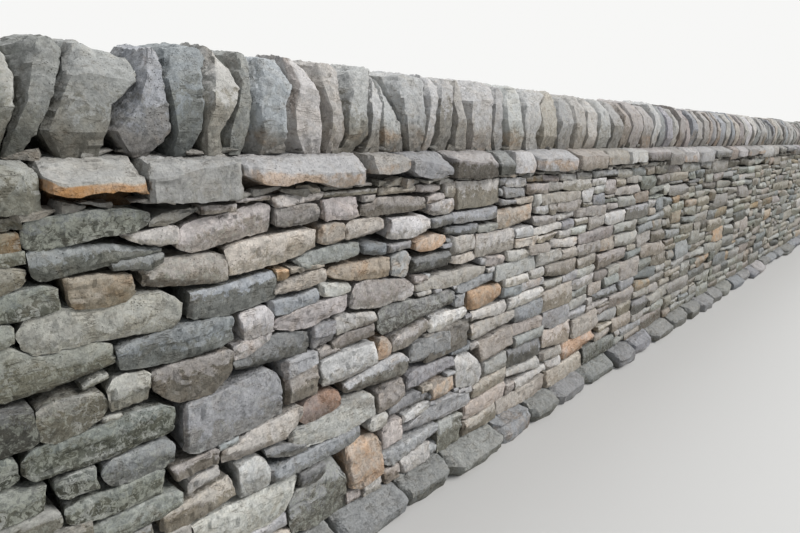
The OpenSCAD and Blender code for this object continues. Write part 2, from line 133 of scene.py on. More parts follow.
# Face stones as laid at the near end of the front face, in millimetres from the wall's left end
# and from the ground: look, bottom edge, top edge
NEAR_STONES = [
    ("green_grey", [(232, 1044), (255, 1026), (300, 1032), (360, 1042), (440, 1048), (478, 1062)],
     [(236, 1070), (252, 1085), (300, 1094), (350, 1095), (400, 1095), (440, 1094), (484, 1078)]),
    ("ochre", [(0, 1030), (232, 1031)], [(0, 1072), (200, 1070), (232, 1064)]),
    ("brown", [(0, 1006), (195, 1006), (236, 1009)], [(0, 1028), (200, 1027), (236, 1028)]),
    ("buff", [(0, 952), (190, 956), (238, 974)], [(0, 1003), (200, 1003), (238, 992)]),
    ("green_grey", [(0, 897), (185, 901), (220, 903), (290, 911)],
     [(0, 949), (190, 951), (230, 957), (270, 955), (291, 945)]),
    ("pale", [(0, 853), (180, 855), (200, 862)], [(0, 894), (182, 897), (200, 888)]),
    ("pale", [(0, 737), (160, 745), (215, 727), (262, 722), (305, 738), (350, 748), (376, 760)],
     [(0, 850), (178, 851), (206, 838), (240, 818), (300, 822), (350, 821), (378, 806)]),
    ("dark", [(0, 641), (150, 642), (205, 642), (216, 652)],
     [(0, 735), (155, 735), (190, 733), (216, 712)]),
    ("green_grey", [(0, 562), (140, 568), (165, 573), (174, 584)],
     [(0, 637), (150, 633), (164, 629), (174, 615)]),
    ("green_grey", [(0, 490), (140, 491), (205, 494), (224, 512)],
     [(0, 559), (130, 562), (170, 560), (226, 546)]),
    ("pale", [(0, 432), (190, 438), (236, 447)], [(0, 486), (210, 490), (238, 478)]),
    ("blue_grey", [(242, 975), (262, 962), (292, 967), (330, 975), (400, 985), (450, 992), (498, 1000)],
     [(240, 1022), (300, 1029), (360, 1038), (400, 1036), (440, 1020), (500, 1006)]),
    ("dark", [(384, 972), (430, 964), (470, 962), (500, 974)],
     [(380, 981), (430, 988), (470, 990), (504, 992)]),
    ("pink", [(418, 1036), (455, 1020), (490, 1013), (530, 1010)],
     [(416, 1043), (470, 1046), (520, 1048), (538, 1040)]),
    ("pink", [(478, 1053), (520, 1052), (560, 1064), (592, 1077)],
     [(480, 1060), (505, 1072), (550, 1080), (592, 1084)]),
    ("pink", [(598, 1068), (684, 1070)], [(598, 1085), (686, 1085)]),
    ("pale", [(690, 1082), (740, 1089), (786, 1089)], [(690, 1095), (740, 1095), (786, 1095)]),
    ("pink", [(535, 998), (570, 984), (620, 985), (670, 990), (720, 1000), (788, 1005)],
     [(545, 1036), (572, 1054), (610, 1065), (645, 1064), (690, 1070), (720, 1080), (762, 1088),
      (793, 1070)]),
    ("brown", [(446, 916), (470, 906), (540, 899), (600, 898), (655, 904)],
     [(440, 955), (462, 984), (520, 986), (560, 982), (620, 977), (660, 956)]),
    ("ochre", [(294, 908), (330, 902), (380, 898), (412, 896), (434, 918)],
     [(295, 963), (330, 967), (380, 962), (420, 957), (438, 938)]),
    ("buff", [(668, 910), (700, 906), (760, 915), (820, 921), (880, 936), (932, 952)],
     [(655, 972), (690, 986), (740, 998), (800, 1003), (870, 1003), (934, 998)]),
    ("pale", [(212, 842), (232, 825), (290, 824), (350, 826), (420, 820), (480, 814), (532, 810)],
     [(204, 868), (225, 897), (280, 906), (350, 904), (420, 900), (490, 898), (518, 885), (540, 862)]),
    ("blue_grey", [(547, 826), (600, 816), (650, 813), (700, 819), (760, 826), (798, 832)],
     [(562, 882), (600, 894), (650, 897), (700, 903), (760, 908), (799, 904)]),
    ("ochre", [(805, 868), (838, 880)], [(803, 905), (838, 902)]),
    ("blue_grey", [(386, 750), (430, 740), (480, 737), (520, 730), (580, 727), (600, 736), (662, 746)],
     [(381, 800), (400, 809), (450, 814), (500, 810), (560, 812), (620, 812), (662, 802)]),
    ("white", [(686, 742), (720, 740), (788, 744)],
     [(682, 798), (696, 811), (740, 817), (768, 812), (790, 772)]),
    ("white", [(665, 689), (700, 692), (740, 711), (776, 724)],
     [(665, 722), (700, 735), (740, 739), (776, 738)]),
    ("brown", [(455, 680), (478, 655), (512, 629), (545, 622), (600, 626), (640, 650), (656, 672)],
     [(456, 720), (500, 727), (545, 722), (600, 724), (640, 729), (660, 716)]),
    ("pale", [(363, 657), (395, 643), (420, 645), (446, 651)],
     [(352, 708), (374, 735), (405, 738), (438, 734), (450, 720)]),
    ("brown", [(219, 646), (250, 633), (300, 635), (340, 652), (356, 668)],
     [(219, 708), (250, 716), (300, 718), (340, 711), (357, 694)]),
    ("pale", [(310, 725), (362, 737)], [(312, 729), (345, 746), (362, 742)]),
    ("pale", [(338, 634), (380, 639)], [(341, 643), (360, 650), (380, 645)]),
    ("green_grey", [(181, 586), (215, 564), (250, 562), (290, 553), (330, 550), (400, 552), (440, 549),
                    (478, 558), (498, 578)],
     [(184, 605), (205, 626), (250, 631), (300, 629), (350, 632), (420, 637), (470, 634), (501, 616)]),
    ("green_grey", [(234, 512), (260, 502), (318, 491)], [(236, 538), (262, 550), (320, 543)]),
    ("blue_grey", [(328, 512), (346, 490), (385, 482), (450, 480), (484, 488)],
     [(329, 532), (352, 547), (420, 544), (470, 544), (498, 528)]),
    ("green_grey", [(250, 442), (272, 428), (330, 418), (400, 417), (458, 420)],
     [(247, 476), (280, 485), (340, 482), (400, 476), (463, 474)]),
    ("pink", [(480, 433), (520, 428), (560, 431), (611, 428)],
     [(474, 468), (520, 473), (588, 476), (611, 458)]),
    ("pale", [(515, 385), (606, 388)], [(524, 410), (560, 419), (606, 421)]),
    ("pink", [(618, 398), (660, 391), (700, 396), (750, 411), (800, 420), (842, 442), (872, 472)],
     [(613, 452), (650, 460), (700, 480), (760, 486), (820, 487), (858, 491), (880, 482)]),
    ("blue_grey", [(604, 464), (655, 466)], [(607, 475), (670, 479)]),
    ("rust", [(862, 452), (890, 434), (930, 432), (980, 441), (1013, 456)],
     [(864, 462), (898, 498), (930, 504), (960, 510), (1000, 506), (1016, 490)]),
    ("brown", [(812, 502), (850, 494), (900, 498), (938, 508)],
     [(811, 588), (860, 597), (900, 601), (938, 604)]),
    ("blue_grey", [(806, 594), (850, 600), (890, 606), (932, 613)],
     [(798, 634), (835, 646), (880, 650), (934, 642)]),
    ("grey", [(511, 490), (530, 477), (600, 480), (700, 486), (760, 495), (802, 499)],
     [(513, 605), (540, 616), (600, 619), (650, 624), (700, 631), (757, 638), (785, 622), (800, 590)]),
    ("dark", [(664, 664), (700, 652), (740, 643), (800, 647), (850, 652), (902, 652)],
     [(664, 684), (700, 696), (750, 718), (800, 727), (850, 719), (902, 706)]),
    ("grey", [(908, 655), (950, 650), (996, 655)], [(906, 716), (950, 724), (1001, 719)]),
    ("pale", [(1003, 672), (1050, 681), (1100, 674), (1150, 678), (1172, 690)],
     [(1004, 720), (1050, 727), (1110, 719), (1160, 707), (1176, 698)]),
    ("brown", [(990, 640), (1030, 626), (1080, 632), (1112, 638), (1166, 640)],
     [(988, 650), (1040, 668), (1100, 664), (1168, 668)]),
    ("brown", [(942, 614), (985, 622), (1018, 622)], [(940, 640), (962, 648), (1000, 640)]),
    ("white", [(948, 530), (980, 520), (1020, 517), (1080, 524), (1120, 530), (1168, 536)],
     [(946, 602), (980, 611), (1050, 617), (1110, 614), (1168, 611)]),
    ("orange", [(1180, 547), (1205, 543), (1238, 549)], [(1179, 588), (1197, 611), (1222, 610),
      (1239, 578)]),
    ("pale", [(1250, 552), (1300, 552), (1340, 557), (1390, 582), (1432, 602)],
     [(1248, 588), (1270, 604), (1310, 611), (1370, 619), (1420, 628), (1438, 614)]),
    ("grey", [(1022, 482), (1050, 465), (1100, 458), (1170, 453), (1240, 451), (1300, 462), (1324, 478)],
     [(1020, 500), (1060, 515), (1100, 521), (1150, 530), (1200, 538), (1250, 543), (1290, 538),
      (1322, 508)]),
    ("dark", [(746, 390), (790, 368), (840, 350), (884, 347)], [(746, 402), (780, 406), (820, 393),
      (886, 362)]),
    ("pale", [(822, 398), (860, 381), (892, 354), (950, 348), (1050, 350), (1120, 357), (1164, 364)],
     [(818, 415), (850, 431), (920, 427), (1000, 443), (1080, 450), (1150, 443), (1174, 410)]),
    ("blue_grey", [(757, 304), (800, 299), (850, 294), (920, 291), (1000, 294), (1060, 297), (1100, 310)],
     [(757, 336), (800, 338), (850, 341), (900, 339), (1000, 340), (1050, 344), (1100, 346)]),
    ("pale", [(1138, 314), (1160, 303), (1200, 300), (1222, 307)],
     [(1132, 334), (1150, 350), (1200, 355), (1226, 344)]),
    ("brown", [(1182, 360), (1240, 366), (1304, 376)], [(1183, 423), (1220, 439), (1304, 446)]),
    ("dark", [(1234, 330), (1280, 318), (1340, 322), (1400, 331), (1432, 322)],
     [(1232, 346), (1260, 364), (1330, 372), (1380, 363), (1430, 342)]),
    ("white", [(1306, 264), (1340, 261), (1370, 280), (1436, 293)],
     [(1300, 300), (1350, 316), (1400, 325), (1436, 314)]),
    ("orange", [(1037, 146), (1100, 138), (1196, 143)],
     [(1031, 252), (1050, 290), (1090, 303), (1140, 299), (1170, 285), (1196, 246)]),
    ("pink", [(1204, 208), (1250, 205), (1302, 207)], [(1202, 283), (1217, 303), (1250, 309),
      (1300, 298)]),
    ("grey", [(1312, 219), (1360, 207), (1450, 210), (1550, 217), (1620, 217), (1694, 224)],
     [(1312, 238), (1350, 258), (1440, 288), (1500, 296), (1580, 297), (1640, 275), (1696, 256)]),
    ("dark", [(850, 240), (880, 234), (948, 236)], [(857, 276), (900, 287), (948, 289)]),
    ("green_grey", [(806, 150), (830, 97), (900, 82), (1000, 82), (1034, 84)],
     [(814, 202), (845, 232), (900, 228), (952, 238), (966, 287), (1008, 286), (1026, 230)]),
    ("pale", [(524, 252), (600, 202), (700, 178), (760, 169), (800, 190)],
     [(522, 288), (560, 296), (650, 294), (750, 296), (820, 297), (856, 290), (862, 268)]),
    ("buff", [(432, 310), (500, 300), (560, 300), (645, 297)],
     [(442, 345), (500, 363), (560, 373), (600, 383), (652, 388)]),
    ("white", [(651, 300), (700, 297), (752, 302)], [(657, 388), (690, 395), (720, 400), (742, 383),
      (754, 342)]),
    ("green_grey", [(250, 352), (300, 353), (380, 352), (440, 352), (506, 366)],
     [(252, 396), (300, 401), (350, 408), (450, 412), (488, 410), (508, 393)]),
    ("pink", [(800, 1069), (850, 1067), (900, 1071), (962, 1074)], [(800, 1093), (850, 1095),
      (900, 1095), (962, 1095)]),
    ("pink", [(970, 1081), (1040, 1079), (1100, 1083), (1166, 1083)],
     [(970, 1094), (1040, 1095), (1110, 1095), (1166, 1094)]),
    ("buff", [(1178, 1073), (1230, 1069), (1340, 1069)], [(1178, 1094), (1250, 1095), (1340, 1095)]),
    ("pink", [(1352, 1071), (1400, 1064), (1476, 1078)], [(1350, 1094), (1420, 1095), (1480, 1095)]),
    ("brown", [(805, 1019), (850, 1014), (900, 1010), (948, 1013)],
     [(806, 1060), (860, 1061), (900, 1064), (948, 1064)]),
    ("pink", [(953, 1017), (1000, 1019), (1050, 1014), (1096, 1020)],
     [(953, 1064), (990, 1071), (1050, 1076), (1090, 1071), (1100, 1052)]),
    ("brown", [(1106, 1020), (1160, 1012), (1220, 1010), (1280, 1012), (1340, 1014), (1400, 1021)],
     [(1107, 1046), (1150, 1050), (1180, 1064), (1230, 1066), (1300, 1063), (1360, 1058), (1402, 1056)]),
    ("pale", [(1106, 1058), (1172, 1058)], [(1106, 1073), (1172, 1072)]),
    ("pink", [(1412, 1026), (1460, 1030), (1494, 1040)], [(1412, 1045), (1450, 1056), (1494, 1066)]),
    ("orange", [(938, 953), (970, 948), (1020, 950), (1038, 955)],
     [(940, 984), (962, 1001), (1000, 1006), (1038, 999)]),
    ("buff", [(1046, 952), (1100, 947), (1150, 944), (1180, 948), (1203, 962)],
     [(1046, 990), (1070, 1006), (1130, 1008), (1180, 1003), (1205, 988)]),
    ("white", [(1216, 938), (1260, 930), (1320, 928), (1380, 938), (1420, 953)],
     [(1215, 988), (1240, 997), (1300, 999), (1360, 1001), (1392, 1006), (1412, 994), (1424, 972)]),
    ("green_grey", [(866, 905), (900, 899), (980, 901), (1040, 900), (1098, 904)],
     [(850, 917), (900, 934), (980, 941), (1040, 937), (1100, 934)]),
    ("buff", [(846, 884), (900, 886), (966, 893)], [(846, 899), (870, 901), (964, 897)]),
    ("blue_grey", [(1115, 897), (1160, 890), (1210, 888)], [(1112, 918), (1140, 930), (1214, 921)]),
    ("grey", [(1218, 888), (1280, 890), (1330, 889)], [(1219, 919), (1260, 921), (1330, 914)]),
    ("orange", [(1338, 887), (1380, 874), (1450, 872), (1500, 886), (1520, 891)],
     [(1340, 896), (1370, 911), (1430, 917), (1490, 911), (1522, 896)]),
    ("ochre", [(982, 852), (1030, 840), (1100, 824), (1180, 815), (1233, 817)],
     [(978, 868), (1000, 887), (1060, 886), (1130, 880), (1200, 877), (1238, 868)]),
    ("buff", [(797, 838), (820, 828), (870, 833), (920, 842), (962, 852)],
     [(792, 848), (840, 864), (900, 879), (950, 884), (969, 872)]),
    ("blue_grey", [(785, 787), (830, 778), (870, 789), (938, 795)],
     [(770, 815), (800, 821), (850, 824), (900, 831), (940, 836)]),
    ("pale", [(948, 802), (1000, 796), (1060, 795)], [(948, 840), (1000, 837), (1060, 827)]),
    ("pink", [(787, 740), (850, 726), (920, 725), (980, 738), (1044, 750)],
     [(792, 768), (840, 774), (900, 784), (960, 789), (1046, 790)]),
    ("pale", [(1054, 744), (1100, 733), (1160, 725), (1230, 728), (1300, 725), (1338, 737)],
     [(1066, 792), (1082, 813), (1130, 818), (1200, 805), (1260, 795), (1308, 789), (1346, 762)]),
    ("grey", [(1244, 815), (1280, 803), (1300, 800), (1322, 820)],
     [(1243, 868), (1264, 880), (1300, 880), (1332, 860)]),
    ("dark", [(1318, 803), (1360, 793), (1430, 788), (1500, 790), (1540, 798)],
     [(1344, 848), (1370, 860), (1430, 866), (1490, 868), (1545, 858)]),
    ("pink", [(1352, 742), (1450, 732), (1520, 725), (1600, 723), (1660, 730), (1738, 742)],
     [(1355, 760), (1420, 772), (1480, 783), (1550, 780), (1640, 784), (1700, 779), (1770, 758)]),
    ("pale", [(1356, 724), (1450, 718)], [(1356, 733), (1440, 728)]),
    ("green_grey", [(1186, 642), (1212, 618), (1260, 620), (1330, 630), (1400, 632), (1480, 634),
      (1572, 642)],
     [(1180, 680), (1204, 710), (1260, 716), (1330, 713), (1400, 709), (1480, 714), (1556, 714),
      (1578, 696)]),
    ("pale", [(1410, 598), (1432, 574), (1480, 563), (1550, 565), (1620, 577), (1652, 600)],
     [(1442, 626), (1480, 630), (1520, 631), (1600, 631), (1650, 626)]),
    ("grey", [(1332, 492), (1370, 478), (1430, 471), (1500, 465), (1556, 468)],
     [(1328, 528), (1352, 549), (1420, 555), (1500, 557), (1556, 550)]),
    ("grey", [(1312, 388), (1380, 378), (1450, 382), (1520, 386), (1586, 392)],
     [(1312, 430), (1342, 452), (1400, 460), (1480, 454), (1556, 453), (1586, 440)]),
    ("orange", [(1448, 308), (1500, 305), (1594, 310)], [(1446, 356), (1480, 368), (1540, 374),
      (1592, 362)]),
    ("white", [(1602, 318), (1640, 301), (1700, 288), (1752, 294)],
     [(1594, 424), (1630, 446), (1688, 443), (1730, 400), (1762, 330)]),
    ("grey", [(1206, 162), (1250, 144), (1330, 140), (1400, 150), (1484, 154)],
     [(1206, 198), (1280, 202), (1380, 203), (1486, 204)]),
    ("pink", [(1040, 82), (1098, 82)], [(1040, 128), (1098, 130)]),
    ("pale", [(1104, 82), (1198, 82)], [(1104, 128), (1170, 136), (1198, 132)]),
    ("buff", [(1204, 82), (1284, 82)], [(1204, 136), (1284, 130)]),
    ("pale", [(1290, 82), (1390, 82), (1452, 84)], [(1290, 128), (1330, 136), (1400, 145), (1452, 144)]),
    ("green_grey", [(1494, 84), (1530, 82), (1600, 82), (1640, 84)],
     [(1490, 190), (1512, 208), (1570, 214), (1620, 208), (1640, 190)]),
]

# Cover stones of the first bays: look, how rusty (below 0: how black) the front is, and the lower
# and upper front arris
NEAR_COVERS = [
    ("pale", 0.0, [(0, 1102), (120, 1100), (262, 1106)], [(0, 1204), (160, 1206), (225, 1196),
      (262, 1176)]),
    ("pale", 1.6, [(278, 1146), (320, 1130), (380, 1138), (420, 1141), (470, 1129)],
     [(278, 1172), (310, 1160), (350, 1162), (450, 1158), (470, 1153)]),
    ("white", 0.0, [(470, 1110), (520, 1106), (600, 1102), (700, 1102)],
     [(470, 1160), (520, 1166), (570, 1174), (700, 1190)]),
    ("white", 0.8, [(700, 1158), (760, 1132), (820, 1126), (880, 1136), (950, 1122), (1000, 1111),
                     (1060, 1116), (1120, 1121)],
     [(700, 1178), (760, 1172), (850, 1162), (950, 1152), (1050, 1150), (1120, 1154)]),
    ("pink", 0.6, [(1124, 1146), (1200, 1142), (1260, 1150), (1290, 1163)],
     [(1124, 1162), (1200, 1170), (1290, 1182)]),
    ("grey", 0.0, [(1290, 1150), (1330, 1126), (1400, 1116), (1440, 1116), (1480, 1130)],
     [(1290, 1180), (1380, 1171), (1440, 1161), (1480, 1152)]),
    ("pale", -1.0, [(1500, 1115), (1600, 1110), (1700, 1105), (1790, 1112)],
     [(1500, 1182), (1550, 1175), (1650, 1165), (1760, 1160), (1790, 1150)]),
    ("grey", -0.8, [(1790, 1112), (1910, 1114)], [(1790, 1152), (1910, 1150)]),
    ("white", 0.5, [(1910, 1112), (2060, 1112)], [(1910, 1152), (2060, 1156)]),
    ("white", 0.7, [(2060, 1124), (2150, 1116), (2280, 1112), (2400, 1118)],
     [(2060, 1168), (2200, 1172), (2400, 1160)]),
]
# First cope stones, left to right: look, tone of the left facet (painted shade), and how far the top
# drops, in millimetres, at shares of the stone's thickness
NEAR_COPES = [
    ("pale", -0.8, [(0, -20), (0.4, 0), (1, -30)]),
    ("pale", -0.8, [(0, -10), (0.5, 0), (1, -30)]),
    ("pale", -0.6, [(0, 0), (0.6, -5), (1, -36)]),
    ("olive", -1.0, [(0, -16), (0.5, 0), (0.75, 0), (0.92, -12), (1, -24)]),
    ("olive", -1.1, [(0, -18), (0.1, -2), (0.3, 0), (0.35, -8), (0.68, -12), (0.85, -20), (1, -42)]),
    ("blue_pale", -2.2, [(0, -5), (0.7, 0), (0.85, -8), (1, -24)]),
    ("blue_grey", -0.6, [(0, -23), (0.1, -7), (0.65, 0), (0.8, -5), (1, -32)]),
    ("pale", -1.0, [(0, 0), (0.25, 0), (0.55, -14), (1, -30)]),
    ("olive", -1.4, [(0, -11), (0.35, 0), (0.8, -6), (1, -34)]),
    ("blue_pale", -2.0, [(0, -25), (0.27, 0), (0.5, -4), (0.75, -8), (0.88, -34), (1, -50)]),
    ("pale", -1.9, [(0, 0), (0.2, -2), (0.5, -10), (0.8, -24), (1, -44)]),
    ("pale", -0.9, [(0, -6), (0.3, 0), (0.7, -4), (1, -25)]),
    ("white", -2.3, [(0, -20), (0.45, -8), (0.75, 0), (0.95, -8), (1, -32)]),
    ("white", -0.8, [(0, 0), (0.3, -4), (0.75, -18), (1, -30)]),
    ("white", -1.0, [(0, 0), (0.4, 0), (0.75, -14), (1, -34)]),
    ("white", -1.6, [(0, -20), (0.3, -6), (0.55, 0), (0.85, -8), (1, -30)]),
    ("white", -0.8, [(0, 0), (0.5, -8), (1, -30)]),
    ("white", -0.8, [(0, -6), (0.4, 0), (0.75, -14), (1, -36)]),
    ("pink", -1.9, [(0, -4), (0.3, 0), (0.75, -16), (1, -38)]),
    ("white", -1.1, [(0, -16), (0.5, 0), (0.8, -10), (1, -34)]),
    ("white", -1.0, [(0, -10), (0.4, 0), (1, -26)]),
    ("white", -1.2, [(0, -20), (0.45, 0), (0.8, -6), (1, -28)]),
    ("white", -0.9, [(0, -12), (0.3, 0), (0.7, -8), (1, -30)]),
]

# Usual looks along the wall, with how often each is met
NEAR_MIX = {"green_grey": 5, "grey": 4, "pale": 4, "buff": 3, "blue_grey": 3, "pink": 2, "brown": 2,
            "dark": 1.2, "ochre": 0.6}
FAR_MIX = {"pale": 7, "buff": 8, "pink": 4, "white": 3, "grey": 2.8, "blue_grey": 0.8, "brown": 1.2,
           "green_grey": 0.5, "olive": 0.7, "orange": 0.5, "ochre": 0.6, "dark": 0.4}


# Plain sums

# Odd numbers that mix the cells of a ripple, and a shift that keeps the cells above zero
CELL_KEYS = (73856093, 19349663, 83492791)
SEED_KEY, MIX_KEYS = 2654435761, (2246822519, 3266489917)
ABOVE_ZERO = 1000.0


def ripple(points, size, seed):
    """Smooth random values from -1 to 1 over points, with lumps of about one size"""
    at = points / size + ABOVE_ZERO
    cell = np.floor(at).astype(np.int64)
    part = at - cell
    part = part * part * (3 - 2 * part)
    dims = points.shape[-1]
    total = np.zeros(points.shape[:-1])
    for corner in range(2 ** dims):
        weight = np.ones(points.shape[:-1])
        mixed = np.full(points.shape[:-1], (seed * SEED_KEY) & 0xFFFFFFFF, dtype=np.int64)
        for d in range(dims):
            up = (corner >> d) & 1
            weight = weight * (part[..., d] if up else 1 - part[..., d])
            mixed = mixed ^ (((cell[..., d] + up) * CELL_KEYS[d]) & 0xFFFFFFFF)
        for shift, key in zip((15, 13), MIX_KEYS):
            mixed = ((mixed ^ (mixed >> shift)) * key) & 0xFFFFFFFF
        mixed = mixed ^ (mixed >> 16)
        total += weight * ((mixed & 0xFFFFFF) / 0xFFFFFF * 2 - 1)
    return total


# Grid spacing from which a stone is made more simply
FAR_SPACING = 0.013


def marks_over(length, spacing, arris):
    """Grid marks from 0 to 1 over a length, closer together at the two arrises"""
    arris = min(arris, length / 4)
    inner = max(1, round((length - 2 * arris) / spacing))
    middle = np.linspace(arris, length - arris, inner + 1)
    if spacing < FAR_SPACING:
        marks = [0, arris * 0.4, *middle, length - arris * 0.4, length]
    else:
        marks = [0, *middle, length]
    return np.array(marks) / length


def half_width(z):
    """Half the width over the two faces at a height"""
    share = np.clip((z - FOOTING_TOP) / (FACE_TOP - FOOTING_TOP), 0, 1)
    return HALF_FOOT + (HALF_HEAD - HALF_FOOT) * share


def pick(rng, mix):
    """One of the looks of a mix, drawn by how often each is met"""
    names = list(mix)
    weights = np.array([mix[n] for n in names], float)
    return names[rng.choice(len(names), p=weights / weights.sum())]


# Sides on which stones are laid, each with its direction along the wall as seen from outside

class Side:
    """A face or an end of the wall, with its distance from the middle at a height"""

    def __init__(self, origin, along, outward, reach):
        self.origin = np.array(origin, float)
        self.along = np.array(along, float)
        self.outward = np.array(outward, float)
        self.reach = reach

    def place(self, s, z, out):
        point = self.origin + s[..., None] * self.along
        point = point + (self.reach(z) + out)[..., None] * self.outward
        point[..., 2] += z
        return point


FRONT = Side((LEFT, 0, 0), (1, 0, 0), (0, -1, 0), half_width)
BACK = Side((-LEFT, 0, 0), (-1, 0, 0), (0, 1, 0), half_width)
# Half the length of an end as a side, which is more than it is wide at the foot
HALF_END = 0.4
LEFT_END = Side((0, HALF_END, 0), (0, -1, 0), (-1, 0, 0), lambda z: np.full_like(z, WALL_L / 2))
RIGHT_END = Side((0, -HALF_END, 0), (0, 1, 0), (1, 0, 0), lambda z: np.full_like(z, WALL_L / 2))


class Stone:
    """One face stone: its bottom and top edges along a side, in metres, and its look"""

    def __init__(self, look, bottom, top, kind="face", depth=None, by_hand=False):
        self.look = look
        self.bottom = np.array(bottom, float)
        self.top = np.array(top, float)
        self.kind = kind
        self.depth = depth
        self.by_hand = by_hand

    @property
    def middle(self):
        return (self.bottom[0, 0] + self.bottom[-1, 0]) / 2


# Laying stones as a waller does: each goes on the lowest place, breaks joint and meets its neighbours

# Width of the cells in which the height laid so far is kept, and how far two cells of a bed differ
CELL = 0.010
SAME_BED = 0.011
# A fixed stone is reached from this far below it, and the face is full this far below its top
MEETS_FIXED = 0.014
FULL = 0.010
# Least width and height of a place for a stone, and of one that takes a wedge
LEAST_PLACE = (0.045, 0.018)
LEAST_WEDGE = (0.015, 0.014)
WEDGE_HEIGHT = 0.060
WEDGE_LAP = 0.003
# Usual height of a stone, how it varies, and how it lessens from foot to top
USUAL_HEIGHT = 0.054
HEIGHT_SPREAD = 0.30
LOW_STONES, THINNER_UP = 1.22, 0.42
# Least and most height and length of a stone, and of its length in heights
HEIGHTS = (0.028, 0.110)
LENGTHS = (0.130, 0.400)
HEIGHTS_LONG = (2.4, 6.0)
# A height this near a neighbour's is made the same, and less room than this above is taken up
LEVELS_WITH = 0.024
TAKES_UP = 0.034
# Room that one stone may fill by itself
TALLEST, LONGEST = 0.150, 0.420
# Two joints nearer than this, one above the other, are a running joint
JOINTS_APART = 0.033
JOINT_NEAR = 0.030
# The top of a stone: usual slope, share that slope more and how much, and its wander
SLOPE = 0.0045
SLOPING_SHARE, SLOPING = 0.13, 0.014
TOP_WANDER = 0.0018


def fixed_above(fixed, centres):
    """Bottom and top of the fixed stones over each cell, the lowest first"""
    ahead = [[] for _ in centres]
    for stone in fixed:
        xs = np.concatenate([stone.bottom[:, 0], stone.top[:, 0]])
        for i in np.nonzero((centres > xs.min()) & (centres < xs.max()))[0]:
            ahead[i].append(tuple(np.interp(centres[i], edge[:, 0], edge[:, 1])
                                  for edge in (stone.bottom, stone.top)))
    for stones in ahead:
        stones.sort()
    return ahead


def lay_stones(length, fixed, rng, mix, usual=USUAL_HEIGHT, wedges_from=0.0):
    """Fills a side with stones round the fixed ones, and puts wedges in gaps from a place along it"""
    count = round(length / CELL)
    centres = (np.arange(count) + 0.5) * CELL
    level = np.full(count, FOOTING_TOP)
    ahead = fixed_above(fixed, centres)

    def settle(lo, hi):
        for i in range(lo, hi):
            while ahead[i] and ahead[i][0][0] <= level[i] + MEETS_FIXED:
                level[i] = max(level[i], ahead[i].pop(0)[1])

    def ceiling(i):
        return ahead[i][0][0] if ahead[i] else FACE_TOP

    settle(0, count)
    laid, joints = [], []
    while True:
        # The lowest bed, with the room above it
        i = int(np.argmin(level))
        if level[i] >= FACE_TOP - FULL:
            break
        lo = hi = i
        while lo > 0 and abs(level[lo - 1] - level[i]) < SAME_BED:
            lo -= 1
        while hi < count - 1 and abs(level[hi + 1] - level[i]) < SAME_BED:
            hi += 1
        hi += 1
        sky = min(ceiling(j) for j in range(lo, hi))
        floor = level[lo:hi].max()
        room = sky - floor
        width = (hi - lo) * CELL
        beside = [level[j] for j in (lo - 1, hi) if 0 <= j < count and level[j] < FACE_TOP + 0.5]
        if width < LEAST_PLACE[0] or room < LEAST_PLACE[1]:
            crown = min([b for b in beside if b > floor + 0.004] + [sky, floor + WEDGE_HEIGHT])
            if width > LEAST_WEDGE[0] and crown - floor > LEAST_WEDGE[1] and lo * CELL >= wedges_from:
                s0, s1 = lo * CELL - WEDGE_LAP, hi * CELL + WEDGE_LAP
                laid.append(Stone("grey", [(s0, floor), (s1, floor)], [(s0, crown), (s1, crown)]))
            level[lo:hi] = crown
            settle(lo, hi)
            level[lo:hi] = np.maximum(level[lo:hi], floor + 0.004)
            continue
        # Height and length of the stone
        low = LOW_STONES - THINNER_UP * (floor - FOOTING_TOP) / (FACE_TOP - FOOTING_TOP)
        height = float(np.clip(usual * low * math.exp(rng.normal(0, HEIGHT_SPREAD)), *HEIGHTS))
        for b in beside:
            if abs(floor + height - b) < LEVELS_WITH:
                height = b - floor
        if room - height < TAKES_UP:
            height = room if room < TALLEST else room / 2
        reach = float(np.clip(height * rng.uniform(*HEIGHTS_LONG), *LENGTHS))
        if width - reach < LENGTHS[0]:
            reach = width if width < LONGEST else width / 2
        # Its place, off the joints below
        cells = max(3, min(hi - lo, round(reach / CELL)))
        from_left = rng.random() < 0.6
        for _ in range(4):
            edge = lo + cells if from_left else hi - cells
            clash = [q for q, z in joints
                     if abs(z - floor) < JOINT_NEAR and abs(q - edge * CELL) < JOINTS_APART]
            if not clash or not lo + 4 < edge + 4 < hi - 4:
                break
            cells += 4
        cells = min(cells, hi - lo)
        a = lo if from_left else hi - cells
        b = a + cells
        s0, s1 = a * CELL, b * CELL
        # Its bed follows the stones below, and its top is a little uneven
        knots = np.linspace(s0, s1, max(2, min(6, round(cells / 4) + 1)))
        seat = np.interp(knots, centres, np.where(level > FACE_TOP, floor, level))
        seat = np.clip(seat, floor - 0.012, floor)
        sky = min(ceiling(j) for j in range(a, b))
        crown = floor + height
        slope = rng.normal(0, SLOPE, 2)
        if rng.random() < SLOPING_SHARE:
            slope = rng.uniform(-SLOPING, SLOPING, 2)
        lip = crown + np.interp(knots, (s0, s1), slope) + rng.normal(0, TOP_WANDER, len(knots))
        if crown >= sky - 0.006:
            lip = np.array([min(ceiling(min(max(int(k / CELL), a), b - 1)), sky + 0.012) for k in knots])
        lip = np.maximum(np.minimum(lip, FACE_TOP), seat + 0.018)
        here = pick(rng, mix(s0) if callable(mix) else mix)
        laid.append(Stone(here, np.c_[knots, seat], np.c_[knots, lip]))
        level[a:b] = np.interp(centres[a:b], knots, lip)
        joints += [(s0, float(lip[0])), (s1, float(lip[-1]))]
        settle(a, b)
    return laid


